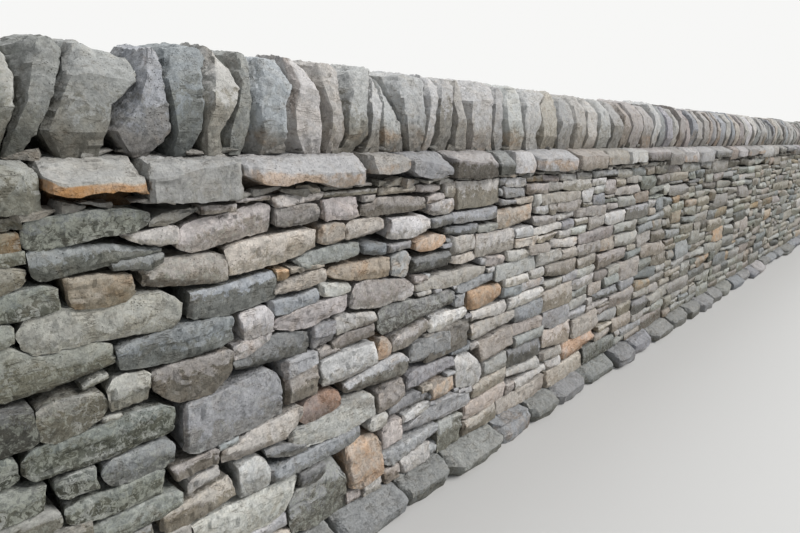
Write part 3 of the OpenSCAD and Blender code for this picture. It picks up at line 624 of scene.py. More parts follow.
def through_spans():
    """Where the through stones lie: their ends along the wall and their bed and top"""
    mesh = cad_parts["through_stones"].data
    xs = np.sort(np.unique(np.round([v.co.x for v in mesh.vertices], 4)))
    low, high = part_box("through_stones")
    return [(float(a), float(b)) for a, b in zip(xs[::2], xs[1::2])], low.z, high.z


def quoins(rng, z0, z1):
    """End stones of a face, long and short in turn: height marks and lengths"""
    marks, lengths = [z0], []
    while z1 - marks[-1] > 0.13:
        marks.append(marks[-1] + rng.uniform(0.055, 0.105))
        lengths.append(rng.uniform(0.30, 0.40) if len(lengths) % 2 else rng.uniform(0.17, 0.25))
    marks.append(z1)
    lengths.append(rng.uniform(0.25, 0.35))
    return marks, lengths


def quoin_stones(rng, at_start, low, high):
    """The end stones of a face at its start or its end, between two heights"""
    marks, lengths = quoins(rng, low, high)
    out = []
    for k, reach in enumerate(lengths):
        a, b = (0, reach) if at_start else (WALL_L - reach, WALL_L)
        tilt = rng.normal(0, 0.002, 2)
        bottom = [(a, marks[k]), (b, marks[k])]
        top = [(a, marks[k + 1] + tilt[0] * (k < len(lengths) - 1)), (b, marks[k + 1])]
        if k:
            bottom[0] = (a, out[-1].top[0, 1])
        out.append(Stone(pick(rng, FAR_MIX), bottom, top, "quoin", rng.uniform(0.14, 0.30)))
    return out


def sides_of_quoins(quoins_here, at, sign):
    """The sides of a face's quoins that show in an end, as stones that are fixed there"""
    walls = []
    for q in quoins_here:
        near = 0 if at == 0 else -1
        if q.kind != "quoin" or abs(q.bottom[near, 0] - at) > 0.01:
            continue
        zb, zt = q.bottom[near, 1], q.top[near, 1]
        inner = float(half_width((zb + zt) / 2)) - q.depth
        s = sorted((HALF_END + sign * inner, HALF_END + sign * HALF_END))
        walls.append(Stone("grey", [(s[0], zb), (s[1], zb)], [(s[0], zt), (s[1], zt)]))
    return walls


# Distance along the front from which wedges are laid, and height below which the left end is out of view
WEDGES_FROM = 1.35
OUT_OF_VIEW = 0.430
# Distances over which the near mix of looks passes into the far one
MIX_FROM, MIX_OVER = 0.3, 1.1
END_HEIGHT = 0.075


def front_mix(s):
    """How often each look is met at a distance along the front"""
    share = min(1.0, max(0.0, (s - MIX_FROM) / MIX_OVER))
    return {k: (1 - share) * NEAR_MIX.get(k, 0) + share * FAR_MIX.get(k, 0) for k in FAR_MIX}


@functools.lru_cache(maxsize=None)
def masonry():
    """Every stone of the faces and ends, by the side on which it is laid"""
    rng = np.random.default_rng(SEEDS["masonry"])
    spans, z0, z1 = through_spans()
    by_hand = [Stone(look, np.array(bottom) / MM, np.array(top) / MM, by_hand=True)
               for look, bottom, top in NEAR_STONES]
    for stone in by_hand:
        if stone.bottom[0, 0] < 0.001:
            stone.kind, stone.depth = "quoin", rng.uniform(0.15, 0.30)
    # The tallest listed grey stone is the end of the first through stone
    first = max((s for s in by_hand if s.look == "grey"),
                key=lambda s: s.top[:, 1].max() - s.bottom[:, 1].min())
    first.kind = "through"

    def through(a, b, drop_left, drop_right):
        bottom, top = [(a, z0), (b, z0)], [(a, z1 - drop_left), (b, z1 - drop_right)]
        return Stone(pick(rng, FAR_MIX), bottom, top, "through")

    front_fixed = by_hand + [through(a - LEFT, b - LEFT, 0.004, 0) for a, b in spans[1:]]
    front_fixed += quoin_stones(rng, True, FOOTING_TOP, OUT_OF_VIEW)
    front_fixed += quoin_stones(rng, False, FOOTING_TOP, FACE_TOP)
    front = front_fixed + lay_stones(WALL_L, front_fixed, rng, front_mix, wedges_from=WEDGES_FROM)

    behind = [(first.bottom[0, 0] + LEFT, first.bottom[-1, 0] + LEFT)] + spans[1:]
    back_fixed = [through(-b - LEFT, -a - LEFT, 0, 0.003) for a, b in behind]
    back_fixed += quoin_stones(rng, True, FOOTING_TOP, FACE_TOP)
    back_fixed += quoin_stones(rng, False, FOOTING_TOP, FACE_TOP)
    back = back_fixed + lay_stones(WALL_L, back_fixed, rng, FAR_MIX)

    # The middle of each end, between the sides of the front and back quoins
    ends = {}
    for name, at, sign in (("left", 0.0, 1), ("right", WALL_L, -1)):
        walls = sides_of_quoins(front, at, sign) + sides_of_quoins(back, WALL_L - at, -sign)
        laid = lay_stones(2 * HALF_END, walls, rng, NEAR_MIX, usual=END_HEIGHT)
        ends[name] = [stone for stone in laid if abs(stone.middle - HALF_END) < 0.2]
    return {"front": front, "back": back, "left": ends["left"], "right": ends["right"]}


# Meshes

class Heap:
    """Points, faces and the marks of many stones, gathered for one piece"""

    def __init__(self):
        self.quads, self.polygons, self.count = [], [], 0
        self.rows = {field: [] for field in ("points", "rough", "mark", "tint", "grain", "age")}

    def add(self, points, quads, polygons, rough, mark, *looks):
        """Adds a stone, of which the tint, grain and age may be the same all over"""
        n = len(points)
        self.quads.append(quads + self.count)
        self.polygons += [np.asarray(p) + self.count for p in polygons]
        looks = [np.broadcast_to(values, (n, 3)) for values in looks]
        for field, values in zip(self.rows, (points, rough, mark, *looks)):
            self.rows[field].append(values)
        self.count += n

    def take(self, other):
        """Adds the stones of another heap"""
        self.quads += [q + self.count for q in other.quads]
        self.polygons += [p + self.count for p in other.polygons]
        for field, values in other.rows.items():
            self.rows[field] += values
        self.count += other.count

    def mesh(self, name):
        """One mesh of all the stones"""
        rows = {field: np.concatenate(values) for field, values in self.rows.items()}
        points, tint = rows["points"], rows["tint"]
        quads = np.concatenate(self.quads)
        loops = [quads.ravel()] + self.polygons
        sizes = np.array([4] * len(quads) + [len(p) for p in self.polygons])
        corner = np.concatenate(loops)
        mesh = bpy.data.meshes.new(name)
        mesh.vertices.add(len(points))
        mesh.vertices.foreach_set("co", points.astype(np.float32).ravel())
        mesh.loops.add(len(corner))
        mesh.loops.foreach_set("vertex_index", corner.astype(np.int32))
        mesh.polygons.add(len(sizes))
        starts = np.concatenate([[0], np.cumsum(sizes)[:-1]])
        mesh.polygons.foreach_set("loop_start", starts.astype(np.int32))
        mesh.update(calc_edges=True)
        rows["tint"] = np.c_[tint, np.ones(len(tint))]
        for label, kind, field in (
            ("tint", "FLOAT_COLOR", "color"), ("grain", "FLOAT_VECTOR", "vector"),
            ("age", "FLOAT_VECTOR", "vector"), ("mark", "FLOAT_VECTOR", "vector"),
            ("rough", "FLOAT", "value"),
        ):
            made = mesh.attributes.new(label, kind, "POINT")
            made.data.foreach_set(field, rows[label].astype(np.float32).ravel())
        return mesh


# How deep a facet must cut at a point to give it the facet's tone
CUT = 0.0002


def knap(points, half, rng, count, depth, lean, tone):
    """Strikes flat facets off a stone: what lies past each plane is pressed back onto it"""
    for _ in range(count):
        turn = rng.uniform(0, 2 * math.pi)
        tip = rng.uniform(*lean)
        normal = np.array([math.cos(turn) * math.sin(tip), math.sin(turn) * math.sin(tip), math.cos(tip)])
        reach = abs(normal[0]) * half[0] + abs(normal[1]) * half[1] + normal[2] * half[2]
        limit = reach - rng.uniform(*depth)
        past = np.maximum(0, points @ normal - limit)
        points = points - past[..., None] * normal
        tone[past > CUT] = rng.uniform(-1, 1)
    return points


def bevel(points, tone, normal, through, value):
    """Cuts one flat facet through a point of a stone's front"""
    normal = np.array(normal) / np.linalg.norm(normal)
    past = np.maximum(0, (points - through) @ normal)
    tone[past > CUT] = value
    return points - past[..., None] * normal


# How much further than the usual the listed stones reach into their joints
FULLER_BY_HAND = 0.0036
# Distance from its side over which a stone's front wears, and how fast that fades
WORN_EDGE, WEAR_FADES = 0.001, 0.007
# Rings behind a worked front: how far back, how much smaller, how rough; and the fewer rings far off
TAIL_RINGS = ((0.012, 0.985, 0.5), (0.045, 0.965, 0.4))
FAR_TAIL_RINGS = ((0.032, 0.975, 0.4),)
TAIL_END = 0.90
TAIL_TAPER = 0.94
# Facets along the arrises of a front: how often, to which side along and up, how wide, as shares of
# the height or in metres, how far turned, and their tone: painted light on the upper facet, painted
# shade on the lower and left ones, and a tone near the middle on the right one
HEAD_AND_FOOT = (
    (0.65, 0, 1, (0.12, 0.40), (0.40, 1.00), (0.3, 1.1)),
    (0.40, 0, -1, (0.08, 0.30), (0.40, 1.00), (-1.2, -0.3)),
)
LEFT_AND_RIGHT = (
    (0.60, -1, 0, (0.006, 0.024), (0.6, 1.2), (-1.5, -0.5)),
    (0.35, 1, 0, (0.004, 0.014), (0.5, 1.0), (-0.3, 0.6)),
)
DEEPEST_FACET = 0.026


def places(edge):
    """Places of an edge's points along it, from 0 to 1"""
    return (edge[:, 0] - edge[0, 0]) / np.ptp(edge[:, 0])


def round_corners(u, v, length, tall, corner):
    """Distances of a front's points from its sides with the corners rounded, and their new places"""
    du, dv = np.minimum(u, 1 - u) * length, np.minimum(v, 1 - v) * tall
    qx, qy = corner - du, corner - dv
    inside = (qx > 0) & (qy > 0)
    pull = np.where(inside, np.maximum(qx, qy) / np.maximum(1e-9, np.hypot(qx, qy)), 1)
    du = np.where(inside, corner - qx * pull, du)
    dv = np.where(inside, corner - qy * pull, dv)
    u = np.where(u < 0.5, du, length - du) / length
    v = np.where(v < 0.5, dv, tall - dv) / tall
    return du, dv, u, v


def strike(local, length, height, rng, tone):
    """Knaps a stone's front, then cuts flat facets along its upper, lower, left and right arris"""
    half = (length / 2, height / 2, 0.0)
    low = min(height, 0.075)
    for count, depth, lean in (((3, 6), (0.03, 0.13), (0.05, 0.40)), ((1, 3), (0.08, 0.26), (0.45, 1.0))):
        blows = int(rng.integers(*count))
        local = knap(local, half, rng, blows, (depth[0] * low, depth[1] * low), lean, tone)
    front_out = float(np.median(local[..., 2]))
    small = min(1.0, length / 0.12)
    facets = [(low, facet) for facet in HEAD_AND_FOOT] + [(small, facet) for facet in LEFT_AND_RIGHT]
    for scale, (chance, across, up, wide, turns, tones) in facets:
        if rng.random() < chance:
            reach = rng.uniform(wide[0] * scale, wide[1] * scale)
            tip = min(rng.uniform(*turns), math.atan(DEEPEST_FACET / reach))
            askew = rng.uniform(-0.12, 0.12)
            leant = math.sin(tip)
            normal = (across * leant + up * askew, up * leant + across * askew, math.cos(tip))
            through = (across * (length / 2 - reach), up * (height / 2 - reach), front_out)
            # The facet takes its tone: painted light above, painted shade below and to the left
            local = bevel(local, tone, normal, through, rng.uniform(*tones))
    return local


def tail(side, s, z, out, depth, spacing):
    """Closes a front with rings into the wall: their points, all faces, the last ring, roughness, wear"""
    index = np.arange(s.size).reshape(s.shape)
    quads = np.stack([index[:-1, :-1], index[1:, :-1], index[1:, 1:], index[:-1, 1:]], -1).reshape(-1, 4)
    ring = np.concatenate([index[:, 0], index[-1, 1:], index[-2::-1, -1], index[0, -2:0:-1]])
    rs, rz, ro = s.ravel()[ring], z.ravel()[ring], out.ravel()[ring]
    cs, cz = rs.mean(), rz.mean()
    points, rough, wear = [], [], []
    before, start, n = ring, s.size, len(ring)
    rings = FAR_TAIL_RINGS if spacing > FAR_SPACING else TAIL_RINGS
    for back, shrink, weight in (*rings, (depth, TAIL_END, 0.0)):
        s_in, z_in = cs + (rs - cs) * shrink, cz + (rz - cz) * (shrink if back < depth else TAIL_TAPER)
        points.append(side.place(s_in, z_in, ro * (0.7 if back < depth else 0) - back))
        after = start + np.arange(n)
        walls = np.stack([before, after, np.roll(after, -1), np.roll(before, -1)], -1)
        quads = np.concatenate([quads, walls])
        rough.append(np.full(n, weight))
        wear.append(np.full(n, 0.3 if weight else 0.0))
        before, start = after, start + n
    return points, quads, before, rough, wear


def face_stone(stone, side, spacing, sizes, rng):
    """Points and faces of one face stone, with its front fully worked and its tail plain"""
    bottom, top = stone.bottom, stone.top
    gap = sizes.open_joint / 2 * rng.uniform(0.1, 1.5) - (FULLER_BY_HAND if stone.by_hand else 0)
    b0, b1 = bottom[0, 0] + gap, bottom[-1, 0] - gap
    t0, t1 = top[0, 0] + gap, top[-1, 0] - gap
    length = max(0.012, (b1 - b0 + t1 - t0) / 2)
    ninths = np.linspace(0, 1, 9)
    heights = np.interp(ninths, places(top), top[:, 1]) \
        - np.interp(ninths, places(bottom), bottom[:, 1]) - 2 * gap
    height = max(0.008, float(heights.mean()))
    us = marks_over(length, spacing, sizes.arris)
    vs = marks_over(height, spacing, sizes.arris)
    u, v = np.meshgrid(us, vs, indexing="ij")
    tall = np.maximum(0.004, np.interp(u, ninths, heights))
    corner = min(0.009, 0.18 * length, 0.20 * height) * rng.uniform(0.1, 0.8)
    du, dv, u, v = round_corners(u, v, length, tall, np.minimum(corner, 0.49 * tall))
    zb = np.interp(u, places(bottom), bottom[:, 1]) + gap
    zt = np.interp(u, places(top), top[:, 1]) - gap
    zt = np.maximum(zt, zb + 0.004)
    s = (1 - v) * (b0 + u * (b1 - b0)) + v * (t0 + u * (t1 - t0))
    z = (1 - v) * zb + v * zt
    seed = int(rng.integers(1, 1 << 30))
    flat = np.stack([s, z], -1)
    calm = np.clip(tall / 0.03, 0.25, 1)
    s = s + calm * (0.0026 * ripple(flat, 0.055, seed) + 0.0016 * ripple(flat, 0.019, seed + 1))
    z = z + calm * (0.0022 * ripple(flat, 0.060, seed + 2) + 0.0014 * ripple(flat, 0.020, seed + 3))
    # The front has a broken arris, stands in or out a little and leans
    edge = np.minimum(du, dv)
    arris = sizes.arris * rng.uniform(0.6, 1.5) * (1 + 0.55 * ripple(flat, 0.035, seed + 4))
    arris = arris * (0.85 if stone.by_hand else 0.50)
    arris = np.minimum(arris, 0.45 * np.minimum(tall, length))
    turned = np.clip(1 - edge / arris, 0, 1)
    out = rng.uniform(-0.005, 0.004) - arris * (1 - np.sqrt(1 - turned ** 2)) * 0.7
    ms, mz = s.mean(), z.mean()
    out = out + (s - ms) * rng.normal(0, 0.028) + (z - mz) * rng.normal(0.0, 0.07)
    tone = np.full(s.shape, rng.uniform(-0.5, 0.5))
    local = strike(np.stack([s - ms, z - mz, out], -1), length, height, rng, tone)
    s, z, out = local[..., 0] + ms, local[..., 1] + mz, local[..., 2]
    # Ledges where the bedding has split
    layers = ripple(np.stack([s * 0.16, z + 0.10 * s * rng.normal()], -1), 0.024, seed + 5)
    out = out + rng.uniform(0.0008, 0.0036) * np.tanh(7 * layers)
    front = side.place(s, z, out).reshape(-1, 3)
    depth = stone.depth or sizes.tail * rng.uniform(0.85, 1.15)
    points, quads, last, rough, wear = tail(side, s, z, out, depth, spacing)
    points = np.concatenate([front, *points])
    rough = np.concatenate([np.where(edge.ravel() < 0.002, 0.55, 1.0), *rough])
    wear = np.concatenate([np.exp(-np.maximum(0, edge.ravel() - WORN_EDGE) / WEAR_FADES), *wear])
    behind = len(points) - tone.size
    mark = np.c_[wear, np.r_[tone.ravel(), np.zeros(behind)], np.r_[v.ravel(), np.full(behind, 0.4)]]
    return points, quads, [last[::-1]], rough, mark


# How far along the wall its near end is darker, greener and more weathered, and over what distance that
# fades
NEAR_END, NEAR_FADES = 0.75, 0.6


def worn_near(along):
    """How far the near end of the wall is darker, greener and more weathered, at a distance along it"""
    return float(np.clip((NEAR_END - along) / NEAR_FADES, 0, 1))


# How the hue varies from stone to stone, and how far apart their grains are taken from the noise
HUE_SPREAD = 0.013
GRAIN_REACH = 40


def look_of(look, colours, rng, spread=0.13, worn=0.0):
    """Tint, grain and age of one stone: age holds its lichen, its dark weathering and its iron"""
    base = np.array(getattr(colours, look))
    tint = base * math.exp(rng.normal(0, spread)) * (1 + rng.normal(0, HUE_SPREAD, 3))
    grain = rng.uniform(-GRAIN_REACH, GRAIN_REACH, 3)
    lichen = rng.uniform(0.1, 0.5) + (0.4 if look == "green_grey" else 0)
    dark = rng.beta(1.4, 3.0) + (0.2 if look in ("dark", "brown", "green_grey") else 0)
    iron = min(0.75, rng.beta(1.0, 5.0) + (0.48 if look in ("ochre", "orange", "rust") else 0))
    # The more worn a stone, the darker and greener its tint
    tint = tint * (1 - 0.38 * worn) * (1 - 0.032 * worn, 1 + 0.014 * worn, 1 - 0.045 * worn)
    return np.clip(tint, 0, 0.9), grain, np.clip([lichen + 0.3 * worn, dark + 0.50 * worn, iron], 0, 1)


# Stones that take their shape from the rings of a CAD node

def cad_stones(node):
    """The separate stones of a CAD node, each as rings of corners from the bottom up"""
    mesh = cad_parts[node].data
    points = np.array([v.co for v in mesh.vertices])
    keys, index = {}, []
    for p in np.round(points, 5):
        index.append(keys.setdefault(tuple(p), len(keys)))
    merged = np.array(list(keys))
    group = np.arange(len(merged))

    def root(i):
        while group[i] != i:
            group[i] = group[group[i]]
            i = group[i]
        return i

    for polygon in mesh.polygons:
        ids = [index[i] for i in polygon.vertices]
        for other in ids[1:]:
            group[root(ids[0])] = root(other)
    stones = {}
    for i in range(len(merged)):
        stones.setdefault(root(i), []).append(merged[i])
    found = []
    for corners in stones.values():
        corners = np.array(corners)
        rings = []
        for ring in np.split(corners[np.argsort(corners[:, 2], kind="stable")], len(corners) // 8):
            middle = (ring.max(0) + ring.min(0)) / 2
            turn = np.arctan2(ring[:, 1] - middle[1], ring[:, 0] - middle[0])
            ring = ring[np.argsort(turn)]
            front = np.argsort(ring[:, 1])[:2]
            first = front[np.argmin(ring[front, 0])]
            rings.append(np.roll(ring, -first, axis=0))
        found.append(np.array(rings))
    found.sort(key=lambda r: (round(float(r[..., 1].mean()), 1), float(r[0, :, 0].mean())))
    return found


def smooth_rings(grid, share):
    """Rounds a closed grid of points a little, level by level and round each ring"""
    around = (np.roll(grid, 1, axis=1) + np.roll(grid, -1, axis=1)) / 2
    grid = grid + share * (around - grid)
    grid[1:-1] = grid[1:-1] + share * 0.6 * ((grid[:-2] + grid[2:]) / 2 - grid[1:-1])
    return grid


def subdivided(rings, parts):
    """Rings with each side divided into its number of parts"""
    corners = len(parts)
    return np.array([
        [ring[j] + (ring[(j + 1) % corners] - ring[j]) * t / parts[j]
         for j in range(corners) for t in range(parts[j])]
        for ring in rings])


def set_arrises(fine, arrises):
    """Brings the front of a cover stone's rings to its lower and upper arris"""
    levels = len(fine)
    for k, line in zip((levels - 3, levels - 2), arrises):
        line = np.array(line) / MM
        front = np.clip(-fine[k, :, 1] / 0.1, 0, 1)
        level = np.interp(fine[k, :, 0] - LEFT, line[:, 0], line[:, 1])
        fine[k, :, 2] += front * (level - fine[k, :, 2])
    fine[1, :, 2] = np.maximum(fine[0, :, 2] + 0.001, fine[levels - 3, :, 2] - 0.007)


def filled(fine, spacing):
    """Rows of points from the lowest ring to the highest, spaced evenly between each two"""
    rows = [fine[0]]
    for below, above in zip(fine, fine[1:]):
        n = max(1, round(np.linalg.norm(above - below, axis=1).max() / spacing))
        rows += [below + (above - below) * t / n for t in range(1, n + 1)]
    return np.array(rows)


def cap(last, spacing):
    """Rings that close a stone's top on its long middle line"""
    low, high = last.min(0), last.max(0)
    middle, half = (low + high) / 2, (high - low) / 2
    short = min(half[0], half[1])
    target = np.clip(last, middle - (half - short), middle + (half - short))
    ends = last[np.argmin(last[:, 0]), 2], last[np.argmax(last[:, 0]), 2]
    target[:, 2] = np.interp(target[:, 0], (low[0], high[0]), ends)
    steps = max(2, round(short / spacing))
    return [last + (target - last) * k / steps for k in range(1, steps + 1)]


def knap_round(flat, middle, half, rng, facets, struck, tone):
    """Strikes facets off a standing stone from the front, then from the back"""
    turned = flat - middle
    for facing in (-1, 1):
        toward = np.array([1, 1, facing])
        view = turned[:, [0, 2, 1]] * toward
        view = knap(view, (half[0], half[2], half[1]), rng, facets, struck, (0.15, 1.2), tone)
        turned = (view * toward)[:, [0, 2, 1]]
    return turned + middle


def ring_stone(rings, spacing, rng, facets, soften, struck, arrises=None, drops=None,
               split=0.0, sway=1.0, left_tone=None):
    """A worked stone over the rings of a CAD stone"""
    corners = rings.shape[1]
    spans = np.linalg.norm(np.roll(rings, -1, axis=1) - rings, axis=2).max(0)
    parts = [max(1, round(span / spacing)) for span in spans]
    tones = rng.uniform(-0.5, 0.5, corners)
    # The left facet takes its given tone, which paints light and shade onto it
    if left_tone is not None:
        tones[-1] = left_tone
    fine = subdivided(rings, parts)
    if arrises:
        set_arrises(fine, arrises)
    grid = filled(fine, spacing)
    base = grid[0].copy()
    grid = smooth_rings(grid, soften)
    low, high = grid[-1].min(0), grid[-1].max(0)
    edge_rows = len(grid)
    grid = np.concatenate([grid, cap(grid[-1], spacing)])
    flat = grid.reshape(-1, 3)
    middle, half = (flat.max(0) + flat.min(0)) / 2, np.ptp(flat, axis=0) / 2
    seed = int(rng.integers(1, 1 << 30))
    tone = np.tile(np.repeat(tones, parts), len(grid))
    if left_tone is not None:
        # Past an uneven slanting line, the left side has a tone near the middle
        share = (flat[:, 2] - flat[0, 2]) / (flat[:, 2].max() - flat[0, 2])
        reach = np.abs(share - rng.uniform(0.15, 0.85)) + 0.16 * ripple(flat, 0.030, seed + 6)
        left_side = np.tile(np.repeat(np.arange(corners) == corners - 1, parts), len(grid))
        across = (flat[:, 0] - low[0]) / (high[0] - low[0]) - 0.15
        reach += np.abs(rng.uniform(-1.2, 1.2) * across)
        tone = np.where(left_side & (reach > rng.uniform(0.25, 0.5)), -0.25, tone)
    drift = np.stack([ripple(flat, 0.070, seed + k) for k in range(3)], -1)
    flat = flat + np.array([0.0022, 0.0050, 0.0022]) * sway * drift
    if split:
        layers = ripple(np.stack([flat[:, 0] * 0.12, flat[:, 2]], -1), 0.022, seed + 9)
        flat[:, 1] += np.sign(middle[1] - flat[:, 1]) * split * (0.5 - 0.5 * np.tanh(6 * layers))
    flat = knap_round(flat, middle, half, rng, facets, struck, tone)
    if drops:
        foot, crown = base[0, 2], flat[:, 2].max()
        line = np.array(drops)
        share = (flat[:, 0] - low[0]) / (high[0] - low[0])
        drop = np.interp(share, line[:, 0], line[:, 1] / MM)
        flat[:, 2] += drop * ((flat[:, 2] - foot) / (crown - foot)) ** 3
    n = grid.shape[1]
    flat[:n] = np.c_[flat[:n, :2], base[:, 2]]
    flat[:, 2] = np.maximum(flat[:, 2], base[0, 2])
    index = np.arange(len(flat)).reshape(grid.shape[:2])
    a, b = index[:-1], np.roll(index, -1, axis=1)[:-1]
    c, d = np.roll(index, -1, axis=1)[1:], index[1:]
    quads = np.stack([a, b, c, d], -1).reshape(-1, 4)
    rough = np.ones(grid.shape[:2])
    rough[0] = 0
    rough[1] = 0.5
    wear = np.zeros(grid.shape[:2])
    wear[max(0, edge_rows - 3):edge_rows + 1] = 0.5
    height = (flat[:, 2] - flat[:, 2].min()) / np.ptp(flat[:, 2])
    return flat, quads, [index[0][::-1]], rough.ravel(), np.c_[wear.ravel(), tone, height]


# Node trees written as plain expressions

class Value:
    """A socket of a node tree, on which sums are written as plain Python"""

    def __init__(self, tree, socket):
        self.tree, self.socket = tree, socket

    def _sum(self, operation, first, second):
        made = self.tree.node("ShaderNodeMath", {"operation": operation}, {0: first, 1: second})
        return self.tree.value(made)

    def __add__(self, other):
        return self._sum("ADD", self, other)

    __radd__ = __add__

    def __sub__(self, other):
        return self._sum("SUBTRACT", self, other)

    def __rsub__(self, other):
        return self._sum("SUBTRACT", other, self)

    def __mul__(self, other):
        return self._sum("MULTIPLY", self, other)

    __rmul__ = __mul__

    def __rtruediv__(self, other):
        return self._sum("DIVIDE", other, self)

    def least(self, other):
        return self._sum("MINIMUM", self, other)

    def most(self, other):
        return self._sum("MAXIMUM", self, other)

    def between(self, low, high):
        """0 below low, 1 above high, smooth in between"""
        node = self.tree.node("ShaderNodeMapRange", {"interpolation_type": "SMOOTHSTEP"},
                              {"Value": self, "From Min": low, "From Max": high})
        return self.tree.value(node)


class Tree:
    """A node tree, to which nodes are added by type, settings and inputs"""

    def __init__(self, tree):
        self.tree = tree

    def node(self, kind, settings=None, inputs=None):
        made = self.tree.nodes.new(kind)
        for key, value in (settings or {}).items():
            setattr(made, key, value)
        for key, value in (inputs or {}).items():
            if isinstance(value, Value):
                self.tree.links.new(value.socket, made.inputs[key])
            else:
                made.inputs[key].default_value = value
        return made

    def value(self, node, output=0):
        return Value(self, node.outputs[output])

    def made(self, kind, settings=None, inputs=None, output=0):
        """An output of a new node"""
        return self.value(self.node(kind, settings, inputs), output)

    def named(self, name, kind):
        """An attribute of the geometry, by its name"""
        return self.made("GeometryNodeInputNamedAttribute", {"data_type": kind}, {"Name": name})

    def parts(self, vector):
        """The three parts of a vector"""
        split = self.node("ShaderNodeSeparateXYZ", None, {0: vector})
        return [self.value(split, k) for k in range(3)]

    def vector(self, operation, first, second=None, scale=None):
        inputs = {0: first}
        if second is not None:
            inputs[1] = second
        if scale is not None:
            inputs["Scale"] = scale
        return self.value(self.node("ShaderNodeVectorMath", {"operation": operation}, inputs))

    def blend(self, share, low, high):
        """Mix of two colours"""
        settings = {"data_type": "RGBA", "blend_type": "MIX", "clamp_factor": True}
        return self.made("ShaderNodeMix", settings, {0: share, 6: low, 7: high}, 2)

    def tinted(self, colour, share, by):
        """A colour, of which a share is multiplied by another"""
        return self.blend(share, colour, self.vector("MULTIPLY", colour, by))

    def broken(self, at, size):
        """Height of a broken surface, from about -1 to 1: flat chips, each with a slope of its own"""
        cells = self.node("ShaderNodeTexVoronoi", {"feature": "F1"}, {"Vector": at, "Scale": 1 / size})
        slope = self.vector("SUBTRACT", self.value(cells, 1), (0.5, 0.5, 0.5))
        within = self.vector("SCALE", self.vector("SUBTRACT", at, self.value(cells, 2)), scale=4 / size)
        dot = self.node("ShaderNodeVectorMath", {"operation": "DOT_PRODUCT"}, {0: slope, 1: within})
        return self.value(dot, 1)

    def noise(self, at, size, detail=3.0, roughness=0.55, distortion=0.0):
        """Cloudy noise from 0 to 1 with lumps of about one size, in metres"""
        node = self.node("ShaderNodeTexNoise", {"noise_dimensions": "3D"}, {
            "Vector": at, "Scale": 0.5 / size, "Detail": detail, "Roughness": roughness,
            "Distortion": distortion})
        return self.value(node, 0)


def empty_material(name):
    """A new material, with its node tree empty"""
    material = bpy.data.materials.new(name)
    material.use_nodes = True
    material.node_tree.nodes.clear()
    return material, Tree(material.node_tree)


def geometry_group(name, taken, distances):
    """A new geometry node group that takes a geometry and some distances, each with its usual value"""
    group = bpy.data.node_groups.new(name, "GeometryNodeTree")
    group.is_modifier = True
    group.interface.new_socket(taken, in_out="INPUT", socket_type="NodeSocketGeometry")
    for label, usual in distances:
        made = group.interface.new_socket(label, in_out="INPUT", socket_type="NodeSocketFloat")
        made.default_value = usual
        made.subtype = "DISTANCE"
    return group, Tree(group)


